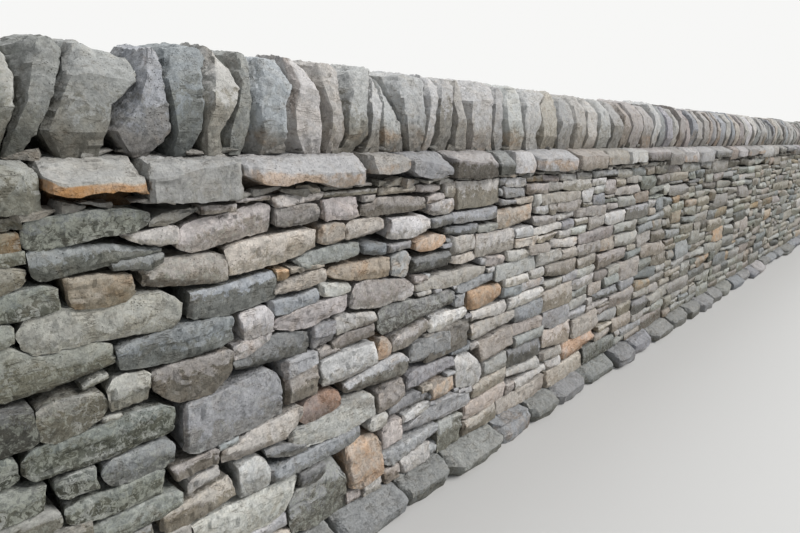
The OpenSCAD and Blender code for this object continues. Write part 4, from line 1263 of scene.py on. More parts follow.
def limestone(name, light=1.0, lichen=1.0, weather=1.0, rough=0.88, dust_and_top_light=0.0, relief=1.0):
    """Broken limestone: each stone's own tint, mottled, with lichen, weathering, iron and pits"""
    material, tree = empty_material(name)
    place = tree.made("ShaderNodeTexCoord", output=3)

    def mark(attribute, output):
        return tree.made("ShaderNodeAttribute", {"attribute_name": attribute}, output=output)

    at = tree.vector("ADD", place, mark("grain", 1))
    tint = mark("tint", 0)
    old, dark, iron = tree.parts(mark("age", 1))
    wear, facet, height_in = tree.parts(mark("mark", 1))
    up = tree.parts(tree.made("ShaderNodeNewGeometry", output=1))[2]

    cloud = tree.noise(at, 0.060, 4.0, 0.6, 0.6)
    mottle = tree.noise(at, 0.014, 5.0, 0.68, 0.3)
    grit = tree.noise(at, 0.0030, 3.0, 0.6)
    blotch = tree.noise(at, 0.030, 5.0, 0.62, 1.2)
    crust = tree.noise(at, 0.0075, 4.0, 0.7, 0.8)
    bedding = tree.noise(tree.vector("MULTIPLY", at, (0.16, 0.5, 1.0)), 0.011, 3.0, 0.62, 0.3) - 0.5

    # Each struck facet has a tone of its own, and the darkest are browner; on the bevels and the copes'
    # left facets that tone is painted light and shade
    shade = light * (0.28 + 0.40 * cloud + 0.58 * mottle + 0.46 * grit)
    # Painted light from above: each stone is lighter towards its top
    shade = shade * (0.91 + 0.17 * facet + 0.16 * height_in)
    colour = tree.vector("SCALE", tint, scale=shade)
    colour = tree.tinted(colour, (0 - facet).between(0.3, 1.5) * 0.6, (0.93, 0.84, 0.78))
    colour = tree.tinted(colour, blotch.between(0.44, 0.62) * 0.6, (1.05, 1.0, 0.935))
    # Iron: warm stains in clouds
    stain = (cloud * 0.6 + blotch * 0.5 + iron * 0.42).between(0.72, 0.98) * (0.2 + 0.9 * iron)
    colour = tree.tinted(colour, stain.least(0.75), (1.13, 0.86, 0.64))
    rusty = (iron * 1.6 + blotch * 0.9 - 1.75).between(0.0, 0.7)
    rusty = rusty * (0.50 + 0.50 * mottle.between(0.38, 0.58))
    colour = tree.tinted(colour, rusty, (0.93, 0.64, 0.37))
    # Weathering: dark grey-brown films that gather in patches and low on the stone
    speckle = crust * 0.5 + mottle * 0.25 + grit * 0.25
    film = speckle + blotch * 0.6 + dark * 0.26 - 0.46 * (height_in - 0.5) - 0.05 * facet - 0.05 * up
    film = film.between(0.91, 0.99)
    film = (film * weather * (0.20 + 0.85 * dark)).least(0.88)
    colour = tree.tinted(colour, film, (0.43, 0.41, 0.34))
    # Lichen: pale and green-grey crusts
    spots = (crust + old * 0.16).between(0.60, 0.70) * (old * lichen).least(1.0)
    pale = tree.blend(cloud.between(0.45, 0.60), (0.33, 0.345, 0.295, 1), (0.46, 0.47, 0.44, 1))
    colour = tree.blend(spots * 0.5, colour, pale)
    # Fresh pale arrises; what looks up is paler, partly dustier and partly painted light from above
    colour = tree.blend((wear * mottle.between(0.42, 0.62)) * 0.42, colour,
                        tree.vector("MULTIPLY", colour, (1.42, 1.40, 1.36)))
    colour = tree.blend(up.between(0.15, 0.9) * (0.22 + dust_and_top_light), colour,
                        tree.blend(0.55, colour, (0.46, 0.46, 0.46, 1)))
    # Small pits
    cells = tree.made("ShaderNodeTexVoronoi", {"feature": "F1"}, {"Vector": at, "Scale": 130.0})
    pits = (1 - cells.between(0.10, 0.26)) * cloud.between(0.46, 0.62)
    colour = tree.blend(pits * 0.55, colour, tree.vector("MULTIPLY", colour, (0.35, 0.33, 0.31)))
    # Thin cracks that run with the bedding
    cracks = (1 - (bedding * bedding).between(0.0, 0.0006)) * blotch.between(0.50, 0.62)
    colour = tree.tinted(colour, cracks * 0.45, (0.40, 0.38, 0.36))

    height = tree.broken(at, 0.013) * 0.0016 + tree.broken(at, 0.0055) * 0.0007
    height = height + mottle * 0.0030 + grit * 0.0012 + crust * 0.0010 - pits * 0.0025
    height = (height - cracks * 0.0018) * relief
    bump = tree.made("ShaderNodeBump", None, {"Strength": 1.0, "Distance": 1.0, "Height": height})
    shader = tree.made("ShaderNodeBsdfPrincipled", None, {
        "Base Color": colour, "Roughness": rough + 0.10 * mottle - 0.05,
        "Normal": bump, "Specular IOR Level": 0.25})
    tree.node("ShaderNodeOutputMaterial", None, {"Surface": shader})
    return material


# How the material of each slot differs from the usual limestone
SLOTS = {
    "face_stone": ("face_limestone", {"light": 1.03}),
    "cope_stone": ("cope_limestone", {"light": 0.94, "lichen": 0.8, "weather": 0.8, "relief": 0.9}),
    "cover_stone": ("cover_limestone", {
        "light": 0.87, "lichen": 0.7, "weather": 0.9, "dust_and_top_light": 0.1, "relief": 0.9}),
    # The footing stones' lower light is painted shade near the ground
    "footing_stone": ("footing_limestone", {
        "light": 0.78, "lichen": 0.6, "weather": 0.9, "dust_and_top_light": 0.1, "relief": 1.2}),
}


@functools.lru_cache(maxsize=None)
def material_for(slot):
    """The material of a slot, made once"""
    name, differs = SLOTS[slot]
    return limestone(name, **differs)


@functools.lru_cache(maxsize=None)
def weathering():
    """Geometry nodes that roughen worked stones: lumps, wobble and chips, by each stone's own grain"""
    group, tree = geometry_group("weather_stones", "Stones", (
        ("Lump Size", 0.055), ("Lump Depth", 0.0055), ("Chip Size", 0.022), ("Chip Depth", 0.0022)))
    group.interface.new_socket("Stone", in_out="INPUT", socket_type="NodeSocketMaterial")
    group.interface.new_socket("Stones", in_out="OUTPUT", socket_type="NodeSocketGeometry")
    given = tree.node("NodeGroupInput")
    stones, lump_size, lump, chip_size, chip, stone = (tree.value(given, k) for k in range(6))
    at = tree.made("GeometryNodeInputPosition")
    grain = tree.named("grain", "FLOAT_VECTOR")
    rough = tree.named("rough", "FLOAT")
    normal = tree.made("GeometryNodeInputNormal")
    place = tree.vector("ADD", at, grain)

    def cloud(size, detail, output, roughness):
        made = tree.node("ShaderNodeTexNoise", {"noise_dimensions": "3D"}, {
            "Vector": place, "Scale": 0.5 / size, "Detail": detail, "Roughness": roughness})
        return tree.value(made, output)

    bulge = (cloud(lump_size, 2.0, 0, 0.5) - 0.5) * 2 * lump
    out = tree.vector("SCALE", normal, scale=(bulge + tree.broken(place, chip_size) * chip) * rough)
    drift = tree.vector("SUBTRACT", cloud(lump_size, 2.0, 1, 0.5), (0.5, 0.5, 0.5))
    drift = tree.vector("SCALE", drift, scale=lump * rough * 1.4)
    moved = tree.made("GeometryNodeSetPosition", None, {
        "Geometry": stones, "Offset": tree.vector("ADD", out, drift)})
    welded = tree.made("GeometryNodeMergeByDistance", None, {"Geometry": moved, "Distance": 0.00002})
    real = tree.made("GeometryNodeRealizeInstances", None, {"Geometry": welded})
    soft = tree.made("GeometryNodeSetShadeSmooth", None, {"Geometry": real})
    done = tree.made("GeometryNodeSetMaterial", None, {"Geometry": soft, "Material": stone})
    tree.node("NodeGroupOutput", None, {0: done})
    return group


@functools.lru_cache(maxsize=None)
def pinning():
    """Geometry nodes that lay small wedges of stone along a line, each with its own size, turn and tint"""
    group, tree = geometry_group("lay_pinnings", "Line", (
        ("Pitch", 0.09), ("Length", 0.07), ("Depth", 0.05), ("Thickness", 0.028), ("Wander", 0.02)))
    face = group.interface
    face.new_socket("Seed", in_out="INPUT", socket_type="NodeSocketInt").default_value = 3
    face.new_socket("Stone", in_out="INPUT", socket_type="NodeSocketMaterial")
    face.new_socket("Wedges", in_out="OUTPUT", socket_type="NodeSocketGeometry")
    given = tree.node("NodeGroupInput")
    line, pitch, length, depth, thickness, wander, seed, stone = (tree.value(given, k) for k in range(8))

    def chance(low, high, offset, kind="FLOAT"):
        made = tree.node("FunctionNodeRandomValue", {"data_type": kind}, {"Seed": seed + offset})
        first, output = {"FLOAT_VECTOR": (0, 0), "FLOAT": (2, 1)}[kind]
        made.inputs[first].default_value = low
        made.inputs[first + 1].default_value = high
        return tree.value(made, output)

    curve = tree.made("GeometryNodeMeshToCurve", None, {"Mesh": line})
    marks = tree.made("GeometryNodeCurveToPoints", {"mode": "LENGTH"}, {"Curve": curve, "Length": pitch})
    shift = tree.vector("SCALE", chance((-1, -0.35, -0.3), (1, 0.35, 0.3), 1, "FLOAT_VECTOR"), scale=wander)
    marks = tree.made("GeometryNodeSetPosition", None, {"Geometry": marks, "Offset": shift})
    size = tree.node("ShaderNodeCombineXYZ", None, {0: length, 1: depth, 2: thickness})
    block = tree.made("GeometryNodeMeshCube", {}, {
        "Size": tree.value(size), "Vertices X": 5, "Vertices Y": 3, "Vertices Z": 3})
    at = tree.made("GeometryNodeInputPosition")
    reach = tree.vector("DIVIDE", at, tree.value(size))
    far = tree.node("ShaderNodeVectorMath", {"operation": "LENGTH"}, {0: reach})
    rounded = tree.vector("SCALE", at, scale=1.12 - 0.42 * tree.value(far, 1))
    along = tree.parts(reach)[0]
    thinner = tree.node("ShaderNodeCombineXYZ", None, {0: 1.0, 1: 1 - 0.25 * along, 2: 0.62 - 0.70 * along})
    wedge = tree.vector("MULTIPLY", rounded, tree.value(thinner))
    block = tree.made("GeometryNodeSetPosition", None, {"Geometry": block, "Position": wedge})
    laid = tree.made("GeometryNodeInstanceOnPoints", None, {
        "Points": marks, "Instance": block,
        "Rotation": chance((-0.10, -0.16, -0.35), (0.10, 0.16, 0.35), 2, "FLOAT_VECTOR"),
        "Scale": chance((0.45, 0.7, 0.45), (1.35, 1.15, 1.35), 3, "FLOAT_VECTOR")})
    flip = tree.made("FunctionNodeRandomValue", {"data_type": "INT"}, {"Seed": seed + 7, 4: 0, 5: 1}, 2)
    turned = tree.node("ShaderNodeCombineXYZ", None, {2: flip * math.pi})
    laid = tree.made("GeometryNodeRotateInstances", None, {
        "Instances": laid, "Rotation": tree.value(turned)})
    tone = tree.blend(chance(0.0, 1.0, 4), (0.20, 0.198, 0.19, 1), (0.42, 0.40, 0.37, 1))
    for name, kind, value in (
        ("tint", "FLOAT_COLOR", tone),
        ("grain", "FLOAT_VECTOR", chance((-40, -40, -40), (40, 40, 40), 5, "FLOAT_VECTOR")),
        ("age", "FLOAT_VECTOR", chance((0.0, 0.0, 0.0), (0.6, 0.7, 0.5), 6, "FLOAT_VECTOR")),
    ):
        laid = tree.made("GeometryNodeStoreNamedAttribute", {"data_type": kind, "domain": "INSTANCE"}, {
            "Geometry": laid, "Name": name, "Value": value})
    real = tree.made("GeometryNodeRealizeInstances", None, {"Geometry": laid})
    grain = tree.named("grain", "FLOAT_VECTOR")
    rocky = tree.node("ShaderNodeTexNoise", {"noise_dimensions": "3D"}, {
        "Vector": tree.vector("ADD", at, grain), "Scale": 26.0, "Detail": 2.0})
    drift = tree.vector("SUBTRACT", tree.value(rocky, 1), (0.5, 0.5, 0.5))
    real = tree.made("GeometryNodeSetPosition", None, {
        "Geometry": real, "Offset": tree.vector("SCALE", drift, scale=thickness * 0.8)})
    done = tree.made("GeometryNodeSetMaterial", None, {"Geometry": real, "Material": stone})
    tree.node("NodeGroupOutput", None, {0: done})
    return group


def grown(name, mesh, group, values):
    """The plain mesh that a geometry tree makes of a mesh, with the tree's inputs set by name"""
    source = bpy.data.objects.new(name + "_rough", mesh)
    bpy.context.scene.collection.objects.link(source)
    modifier = source.modifiers.new("grow", "NODES")
    modifier.node_group = group
    for item in group.interface.items_tree:
        if item.in_out == "INPUT" and item.name in values:
            modifier[item.identifier] = values[item.name]
    depsgraph = bpy.context.evaluated_depsgraph_get()
    done = bpy.data.meshes.new_from_object(source.evaluated_get(depsgraph), depsgraph=depsgraph)
    source.modifiers.remove(modifier)
    bpy.data.objects.remove(source)
    bpy.data.meshes.remove(mesh)
    done.name = name
    made = bpy.data.objects.new(name, done)
    bpy.context.scene.collection.objects.link(made)
    return made


def set_piece(name, heap, slot, nodes, lump, chip, chip_size=0.022, crease=math.radians(30)):
    """Finishes a heap of stones as one piece of the wall, in place of its CAD nodes"""
    piece = grown(name, heap.mesh(name), weathering(), {
        "Lump Size": LUMP_SIZE, "Lump Depth": lump, "Chip Size": chip_size, "Chip Depth": chip,
        "Stone": material_for(slot)})
    piece.data.set_sharp_from_angle(angle=crease)
    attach(piece, "root")
    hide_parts(*nodes)
    return piece


# Grid spacing on the stones of each bay, finer where the wall is seen from close by
FRONT_SPACING = (0.0075, 0.0112, 0.016, 0.0205, 0.023, 0.023)
BACK_SPACING = (0.027,) * BAYS
COPE_SPACING = (0.0102, 0.0145, 0.019, 0.022, 0.022, 0.022)
COVER_SPACING = (0.0112, 0.0145, 0.020, 0.024, 0.024, 0.024)
FOOTING_SPACING = (0.014, 0.017, 0.022, 0.026, 0.026, 0.026)
END_SPACING = {"left": 0.0135, "right": 0.019}
THROUGH_SPACING, FIRST_THROUGH_SPACING = 0.018, 0.009
# Lumps and chips of the stones that aren't face stones
LUMP_SIZE = 0.055
COPE_ROUGH = {"lump": 0.0034, "chip": 0.0024, "chip_size": 0.024, "crease": math.radians(26)}
COVER_ROUGH = {"lump": 0.005, "chip": 0.0022}
FOOTING_ROUGH = {"lump": 0.006, "chip": 0.003}


# How far the face stones are darkened and weathered: usually, and at most past a distance along the front
USUALLY_WORN, FAR_WORN = 0.3, 0.6
WORN_FROM, WORN_OVER = 2.4, 3.4


def heap_of_face_stones(stones, side, spacing, seed):
    """Face stones on one side of the wall; the front is darkest and most weathered at its left end and far
    along
    """
    sizes, colours = bpy.context.scene.wall_sizes, bpy.context.scene.wall_colours
    rng = np.random.default_rng(seed)
    heap = Heap()
    for stone in stones:
        made = face_stone(stone, side, spacing, sizes, rng)
        worn = USUALLY_WORN
        if side is FRONT:
            far = max(0, (stone.middle - WORN_FROM) / WORN_OVER)
            worn = max(worn_near(stone.middle), min(FAR_WORN, far))
        tint, grain, age = look_of(stone.look, colours, rng, 0.11, worn)
        heap.add(*made, tint, grain, age)
    return heap


def bay_of(stone, side):
    """The bay in which a stone's middle lies, counted from the left of the front"""
    x = side.origin[0] + side.along[0] * stone.middle
    return min(BAYS - 1, max(0, int((x - LEFT) / BAY_L)))


def lay_face(name, side, spacings):
    """Lays the stones of one face, bay by bay"""
    sizes = bpy.context.scene.wall_sizes
    for bay in range(BAYS):
        stones = [s for s in masonry()[name] if s.kind == "face" and bay_of(s, side) == bay]
        heap = heap_of_face_stones(stones, side, spacings[bay], SEEDS[name] + bay)
        set_piece(f"{name}_stones_{bay + 1}", heap, "face_stone", [f"{name}_face_{bay + 1}"],
                  sizes.lump, sizes.chip)


class WALL_OT_front_faces(bpy.types.Operator):
    """Lay the stones of the front face, bay by bay"""
    bl_idname = "wall.front_faces"
    bl_label = "Front face stones"

    def execute(self, context):
        lay_face("front", FRONT, FRONT_SPACING)
        return {"FINISHED"}


class WALL_OT_back_faces(bpy.types.Operator):
    """Lay the stones of the back face, bay by bay"""
    bl_idname = "wall.back_faces"
    bl_label = "Back face stones"

    def execute(self, context):
        lay_face("back", BACK, BACK_SPACING)
        return {"FINISHED"}


class WALL_OT_wall_ends(bpy.types.Operator):
    """Build the two plain ends of long and short stones"""
    bl_idname = "wall.wall_ends"
    bl_label = "Wall ends"

    def execute(self, context):
        sizes = context.scene.wall_sizes
        laid = masonry()
        for name, end in (("left", LEFT_END), ("right", RIGHT_END)):
            spacing = END_SPACING[name]
            quoins_here = {
                side: [s for s in laid[side] if s.kind == "quoin" and (s.middle < 1) == (name == start)]
                for side, start in (("front", "left"), ("back", "right"))}
            heap = heap_of_face_stones(laid[name], end, spacing, SEEDS["ends"])
            for key, side in (("front", FRONT), ("back", BACK)):
                heap.take(heap_of_face_stones(quoins_here[key], side, spacing, SEEDS["quoins"]))
            set_piece(f"{name}_end_stones", heap, "face_stone", [f"{name}_wall_end"],
                      sizes.lump, sizes.chip)
        return {"FINISHED"}


class WALL_OT_through_stones(bpy.types.Operator):
    """Set the long stones that tie the two faces together"""
    bl_idname = "wall.through_stones"
    bl_label = "Through stones"

    def execute(self, context):
        sizes, colours = context.scene.wall_sizes, context.scene.wall_colours
        rng = np.random.default_rng(SEEDS["through"])
        heap = Heap()
        for side, key in ((FRONT, "front"), (BACK, "back")):
            for stone in masonry()[key]:
                if stone.kind == "through":
                    near = side is FRONT and stone.middle < 2
                    stone.depth = float(half_width(stone.bottom[0, 1] + 0.1))
                    spacing = FIRST_THROUGH_SPACING if near else THROUGH_SPACING
                    heap.add(*face_stone(stone, side, spacing, sizes, rng),
                             *look_of(stone.look, colours, rng))
        set_piece("through_stones_worked", heap, "face_stone", ["through_stones"], sizes.lump, sizes.chip)
        return {"FINISHED"}


COPE_LOOKS = ("pale", "pale", "buff", "pale", "white", "pink", "buff", "grey", "olive", "pale", "blue_pale")
# How far the near ends of the rows of cope and cover stones are darkened and weathered
COPE_WORN, COVER_WORN = 0.55, 0.6
# How many of the listed copes are seen well from the side
SEEN_FROM_SIDE = 12
# Share of a cope's height up to which earth stains it, and what that takes from its tint
EARTH_LINE, EARTH_FADES = 0.36, 0.12
EARTH = (0.16, 0.22, 0.28)


def stained_foot(height, points, tint, age, rng):
    """Tint and age of a cope whose foot earth may have stained"""
    earth = EARTH_LINE - height + 0.10 * ripple(points, 0.040, int(rng.integers(1, 999)))
    earth = np.clip(earth / EARTH_FADES, 0, 1)[:, None] * max(0, rng.uniform(-0.7, 1.0))
    age = np.maximum(np.tile(age * (1, 1, 0.6), (len(earth), 1)), earth * (0, 0, 0.6))
    return tint * (1 - earth * EARTH), age


class WALL_OT_cope_stones(bpy.types.Operator):
    """Stand the cope stones on the cover stones"""
    bl_idname = "wall.cope_stones"
    bl_label = "Cope stones"

    def execute(self, context):
        colours = context.scene.wall_colours
        near = list(NEAR_COPES)
        for bay in range(BAYS):
            rng = np.random.default_rng(SEEDS["cope"] + bay)
            heap = Heap()
            for rings in cad_stones(f"cope_stones_{bay + 1}"):
                # A cope's left facet takes a tone of painted light and shade; on most it is lighter, to
                # offset how the lamps shade it
                look, left = COPE_LOOKS[rng.integers(len(COPE_LOOKS))], rng.uniform(-0.6, 0.8)
                low = rng.uniform(-18, 0)
                drops = [(0, low + rng.uniform(-24, 0)), (rng.uniform(0.2, 0.5), low),
                         (rng.uniform(0.6, 0.85), low + rng.uniform(-14, -4)),
                         (1, low + rng.uniform(-44, -20))]
                narrow = rng.uniform(0.1, 0.8)
                if near:
                    look, left, drops = near.pop(0)
                    laid = len(NEAR_COPES) - len(near)
                    from_side = laid <= SEEN_FROM_SIDE
                    # Copes seen well from the side keep most of their left facet's painted shade; the
                    # others get a lighter tone, painted light
                    left, narrow = (0.7 * left, 0.16) if from_side else (0.25 * left + 0.35, 0.45)
                # The left facet narrows unevenly up the stone
                share = np.clip(narrow + rng.uniform(-0.2, 0.2, len(rings)), 0, 0.85)
                rings[:, 0, 0] += (rings[:, -1, 0] - rings[:, 0, 0]) * share
                made = ring_stone(rings, COPE_SPACING[bay], rng, 6, 0.12, (0.004, 0.022), drops=drops,
                                  sway=0.5, left_tone=left)
                worn = COPE_WORN * worn_near(rings[:, :, 0].mean() - LEFT)
                tint, grain, age = look_of(look, colours, rng, 0.08, worn)
                tint, age = stained_foot(made[4][:, 2], made[0], tint, age, rng)
                heap.add(*made, tint, grain, age)
            set_piece(f"cope_row_{bay + 1}", heap, "cope_stone", [f"cope_stones_{bay + 1}"], **COPE_ROUGH)
        return {"FINISHED"}


COVER_LOOKS = ("pale", "white", "buff", "pink", "pale", "pale", "white", "grey")
COVER_RUST = (-0.8, 0.0, 0.3, 0.6, 0.8)
# Upper arrises of the cover stones laid by rule, least of the lower and most of the upper, and thickness
UPPER_ARRIS, LEAST_ARRIS, MOST_ARRIS = (1160, 1188), 1100, 1191
SLAB = (38, 74)
# What dark weathering takes from the tint of a cover stone's front, and what painted shade takes in the
# recess below its lower arris, and the distance over which each fades
WEATHERED, PAINTED_SHADE = 0.45, 0.75
FADE = 0.012


def broken_arrises(rings, rng):
    """Lower and upper front arris of a cover stone that lies as a slab of its own thickness"""
    x = np.linspace(rings[1, :, 0].min() - LEFT, rings[1, :, 0].max() - LEFT, 6) * MM
    upper = rng.uniform(*UPPER_ARRIS) + rng.normal(0, 3.5, 6)
    lower = upper.mean() - rng.uniform(*SLAB) + rng.normal(0, 4.5, 6)
    return [list(zip(x, np.maximum(lower, LEAST_ARRIS))), list(zip(x, np.minimum(upper, MOST_ARRIS)))]


def below(arris, points):
    """How far below an arris the points of a stone are"""
    line = np.array(arris) / MM
    return np.interp(points[:, 0] - LEFT, line[:, 0], line[:, 1]) - points[:, 2]


def rusted_with_painted_shade(points, arrises, rust, tint, age, seed):
    """Tint and age of a cover stone with rust on its front, or dark weathering where rust is below 0, and
    painted shade below its lower arris
    """
    under = below(arrises[1], points) + 0.007 * ripple(points, 0.035, seed)
    front = np.clip((under + 0.004) / FADE, 0, 1)
    age = np.tile(age * (1, 1, 0.5), (len(points), 1))
    age[:, 2] = np.maximum(age[:, 2], rust * front)
    age[:, 1] = np.maximum(age[:, 1], -rust * front)
    tint = tint * (1 - WEATHERED * max(0, -rust) * front[:, None])
    # Painted shade: darker in the recess below the lower arris
    painted_shade_below = np.clip(below(arrises[0], points) / FADE, 0, 1)
    return tint * (1 - PAINTED_SHADE * painted_shade_below[:, None]), age


class WALL_OT_cover_stones(bpy.types.Operator):
    """Lay the flat cover stones on the two faces"""
    bl_idname = "wall.cover_stones"
    bl_label = "Cover stones"

    def execute(self, context):
        colours = context.scene.wall_colours
        near = list(NEAR_COVERS)
        for bay in range(BAYS):
            rng = np.random.default_rng(SEEDS["cover"] + bay)
            heap = Heap()
            for rings in cad_stones(f"cover_stones_{bay + 1}"):
                look, rust = COVER_LOOKS[rng.integers(len(COVER_LOOKS))], rng.choice(COVER_RUST)
                arrises = broken_arrises(rings, rng)
                if near:
                    look, rust, *arrises = near.pop(0)
                rings[3, :, 1] *= rng.uniform(1.02, 1.34)
                rings[1:3, :, 1] *= rng.uniform(0.96, 1.01)
                rings[0, :, 1] *= 0.90
                recess = rings[:1] * (1, 1, 0) + rings[1:2] * (0, 0, 1)
                made = ring_stone(np.concatenate([rings[:1], recess, rings[1:]]), COVER_SPACING[bay], rng,
                                  3, 0.12, (0.002, 0.012), arrises, split=0.005)
                worn = COVER_WORN * worn_near(rings[:, :, 0].mean() - LEFT)
                tint, grain, age = look_of(look, colours, rng, 0.10, worn)
                tint, age = rusted_with_painted_shade(made[0], arrises, rust, tint, age, 70 + bay)
                heap.add(*made, tint, grain, age)
            set_piece(f"cover_row_{bay + 1}", heap, "cover_stone", [f"cover_stones_{bay + 1}"],
                      **COVER_ROUGH)
        return {"FINISHED"}


class WALL_OT_pinnings(bpy.types.Operator):
    """Push small wedges under the cover stones and the feet of the cope stones"""
    bl_idname = "wall.pinnings"
    bl_label = "Pinnings"

    def execute(self, context):
        start, end = LEFT + 0.05, -LEFT - 0.05
        under_covers = {"Pitch": 0.066, "Length": 0.100}
        under_copes = {"Pitch": 0.110, "Length": 0.070, "Thickness": 0.026}
        for name, y, z, values, seed in (
            ("cover_pinnings_front", -0.206, 1.108, under_covers, 5),
            ("cover_pinnings_back", 0.206, 1.108, under_covers, 15),
            ("cope_pinnings_front", -0.130, 1.200, under_copes, 25),
            ("cope_pinnings_back", 0.130, 1.200, under_copes, 35),
        ):
            line = bpy.data.meshes.new(name)
            line.from_pydata([(start, y, z), (end, y, z)], [(0, 1)], [])
            values = {"Stone": material_for("face_stone"), "Seed": seed, **values}
            piece = grown(name, line, pinning(), values)
            piece.data.set_sharp_from_angle(angle=math.radians(35))
            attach(piece, "root")
        return {"FINISHED"}


FOOTING_LOOKS = ("pale", "olive", "blue_pale", "grey", "olive")


class WALL_OT_footing_stones(bpy.types.Operator):
    """Lay the footing stones along the foot of the wall"""
    bl_idname = "wall.footing_stones"
    bl_label = "Footing stones"

    def execute(self, context):
        colours = context.scene.wall_colours
        for bay in range(BAYS):
            rng = np.random.default_rng(SEEDS["footing"] + bay)
            heap = Heap()
            for rings in cad_stones(f"footing_{bay + 1}"):
                made = ring_stone(rings, FOOTING_SPACING[bay], rng, 7, 0.08, (0.004, 0.030),
                                  split=0.010, sway=1.5)
                look = FOOTING_LOOKS[rng.integers(len(FOOTING_LOOKS))]
                heap.add(*made, *look_of(look, colours, rng, 0.10))
            set_piece(f"footing_row_{bay + 1}", heap, "footing_stone", [f"footing_{bay + 1}"],
                      **FOOTING_ROUGH)
        return {"FINISHED"}


class WALL_OT_hearting(bpy.types.Operator):
    """Give the hearting inside the wall a dark rubble finish, painted shade for the core seen through the
    joints
    """
    bl_idname = "wall.hearting"
    bl_label = "Hearting"

    def execute(self, context):
        material, tree = empty_material("hearting_rubble_painted_shade")
        place = tree.made("ShaderNodeTexCoord", output=3)
        far = tree.made("ShaderNodeTexVoronoi", {"feature": "F1"}, {"Vector": place, "Scale": 26.0})
        tone = tree.noise(place, 0.02, 4.0)
        # Dark rubble, darkest between its pieces: painted shade inside the wall
        colour = tree.blend(far.between(0.15, 0.55), (0.22, 0.21, 0.19, 1), (0.07, 0.065, 0.06, 1))
        colour = tree.vector("SCALE", colour, scale=0.6 + 0.8 * tone)
        bump = tree.made("ShaderNodeBump", None, {"Strength": 1.0, "Distance": 0.02, "Height": 1 - far})
        shader = tree.made("ShaderNodeBsdfPrincipled", None, {
            "Base Color": colour, "Roughness": 0.9 + 0.1 * tone, "Normal": bump})
        tree.node("ShaderNodeOutputMaterial", None, {"Surface": shader})
        for bay in range(BAYS):
            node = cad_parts[f"hearting_{bay + 1}"]
            node.data.materials.clear()
            node.data.materials.append(material)
        return {"FINISHED"}


# Camera as solved from the photograph's long lines
CAMERA_AT = (-4.56, -1.4241, 1.4138)
CAMERA_TURN = math.radians(41.423)
CAMERA_DOWN = math.radians(17.911)
CAMERA_ROLL = math.radians(6.5)
CAMERA_LENS = 26.01
FLOOR_REACH = 60.0
# Lamps: name, strength, how soft, the way they shine, colour
LAMPS = (
    ("key", 3.1, 28, (-0.85, 0.70, -0.95), (1.0, 0.985, 0.975)),
    ("fill_behind", 2.2, 60, (-0.30, -0.85, -0.9), (0.97, 0.985, 1.0)),
)


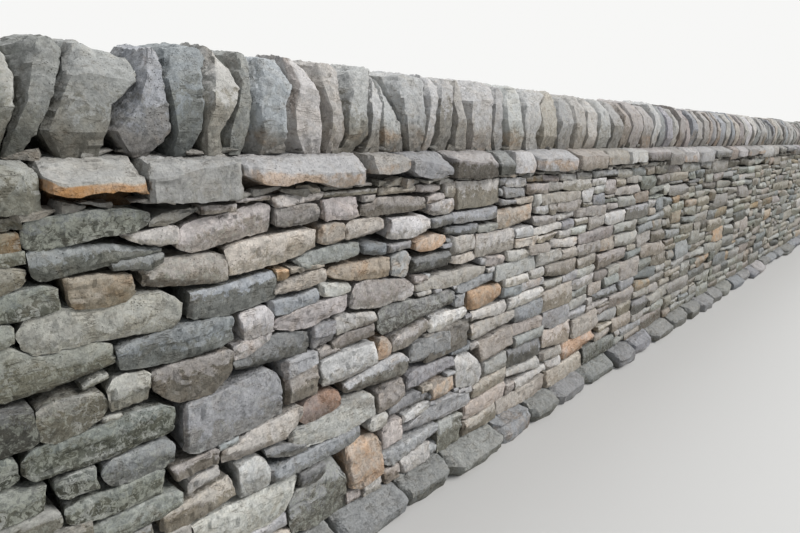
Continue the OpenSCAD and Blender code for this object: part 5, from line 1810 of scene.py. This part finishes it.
class WALL_OT_stage(bpy.types.Operator):
    """Set the floor, the backdrop, the lights and the camera"""
    bl_idname = "wall.stage"
    bl_label = "Floor, light and camera"

    def execute(self, context):
        scene = context.scene
        floor = bpy.data.meshes.new("floor")
        r = FLOOR_REACH
        floor.from_pydata([(-r, -r, 0), (r, -r, 0), (r, r, 0), (-r, r, 0)], [], [(0, 1, 2, 3)])
        stage = bpy.data.objects.new("floor", floor)
        scene.collection.objects.link(stage)
        material = bpy.data.materials.new("pale_floor")
        material.use_nodes = True
        shader = material.node_tree.nodes["Principled BSDF"]
        shader.inputs["Base Color"].default_value = (0.50, 0.495, 0.48, 1)
        shader.inputs["Roughness"].default_value = 0.9
        floor.materials.append(material)

        world = bpy.data.worlds.new("studio")
        scene.world = world
        world.use_nodes = True
        tree = Tree(world.node_tree)
        world.node_tree.nodes.clear()
        ray = tree.node("ShaderNodeLightPath")
        seen = tree.value(ray, 0).most(tree.value(ray, 3)).most(tree.value(ray, 6))
        soft = tree.made("ShaderNodeBackground", None, {"Color": (0.93, 0.97, 1.03, 1), "Strength": 0.52})
        white = tree.made("ShaderNodeBackground", None, {"Color": (0.93, 0.93, 0.92, 1), "Strength": 1.0})
        both = tree.made("ShaderNodeMixShader", None, {0: seen, 1: soft, 2: white})
        tree.node("ShaderNodeOutputWorld", None, {"Surface": both})

        for name, strength, spread, toward, colour in LAMPS:
            light = bpy.data.lights.new(name, "SUN")
            light.energy = strength
            light.angle = math.radians(spread)
            light.color = colour
            lamp = bpy.data.objects.new(name, light)
            lamp.rotation_euler = Vector(toward).to_track_quat("-Z", "Y").to_euler()
            scene.collection.objects.link(lamp)

        a, p, r = CAMERA_TURN, CAMERA_DOWN, CAMERA_ROLL
        right = Vector((math.sin(a), -math.cos(a), 0))
        above = Vector((math.sin(p) * math.cos(a), math.sin(p) * math.sin(a), math.cos(p)))
        ahead = Vector((math.cos(p) * math.cos(a), math.cos(p) * math.sin(a), -math.sin(p)))
        image_right = math.cos(r) * right + math.sin(r) * above
        image_up = -math.sin(r) * right + math.cos(r) * above
        turn = Matrix((image_right, image_up, -ahead)).transposed().to_4x4()
        camera = bpy.data.cameras.new("camera")
        camera.lens = CAMERA_LENS
        camera.sensor_width = 36.0
        camera.clip_start = 0.02
        camera.clip_end = 300
        eye = bpy.data.objects.new("camera", camera)
        eye.matrix_world = Matrix.Translation(CAMERA_AT) @ turn
        scene.collection.objects.link(eye)
        scene.camera = eye
        scene.view_settings.view_transform = "Standard"
        return {"FINISHED"}


class WALL_PT_panel(bpy.types.Panel):
    """Lists the steps in the order in which the wall is built"""
    bl_idname = "WALL_PT_panel"
    bl_label = "Dry stone wall"
    bl_space_type = "VIEW_3D"
    bl_region_type = "UI"
    bl_category = "Dry stone wall"

    def draw(self, context):
        for step in STEPS:
            self.layout.operator(step.bl_idname)
        for group in ("wall_sizes", "wall_colours"):
            settings = getattr(context.scene, group)
            for name in settings.__annotations__:
                self.layout.prop(settings, name)


STEPS = (
    WALL_OT_hearting, WALL_OT_footing_stones, WALL_OT_front_faces, WALL_OT_back_faces,
    WALL_OT_wall_ends, WALL_OT_through_stones, WALL_OT_cover_stones, WALL_OT_cope_stones,
    WALL_OT_pinnings, WALL_OT_stage,
)
CLASSES = (StoneSizes, StoneColours, *STEPS, WALL_PT_panel)


def register():
    for made in CLASSES:
        bpy.utils.register_class(made)
    bpy.types.Scene.wall_sizes = bpy.props.PointerProperty(type=StoneSizes)
    bpy.types.Scene.wall_colours = bpy.props.PointerProperty(type=StoneColours)


def unregister():
    del bpy.types.Scene.wall_sizes
    del bpy.types.Scene.wall_colours
    for made in reversed(CLASSES):
        bpy.utils.unregister_class(made)


def main():
    register()
    for step in STEPS:
        area, name = step.bl_idname.split(".")
        getattr(getattr(bpy.ops, area), name)()


if __name__ == "__main__":
    main()
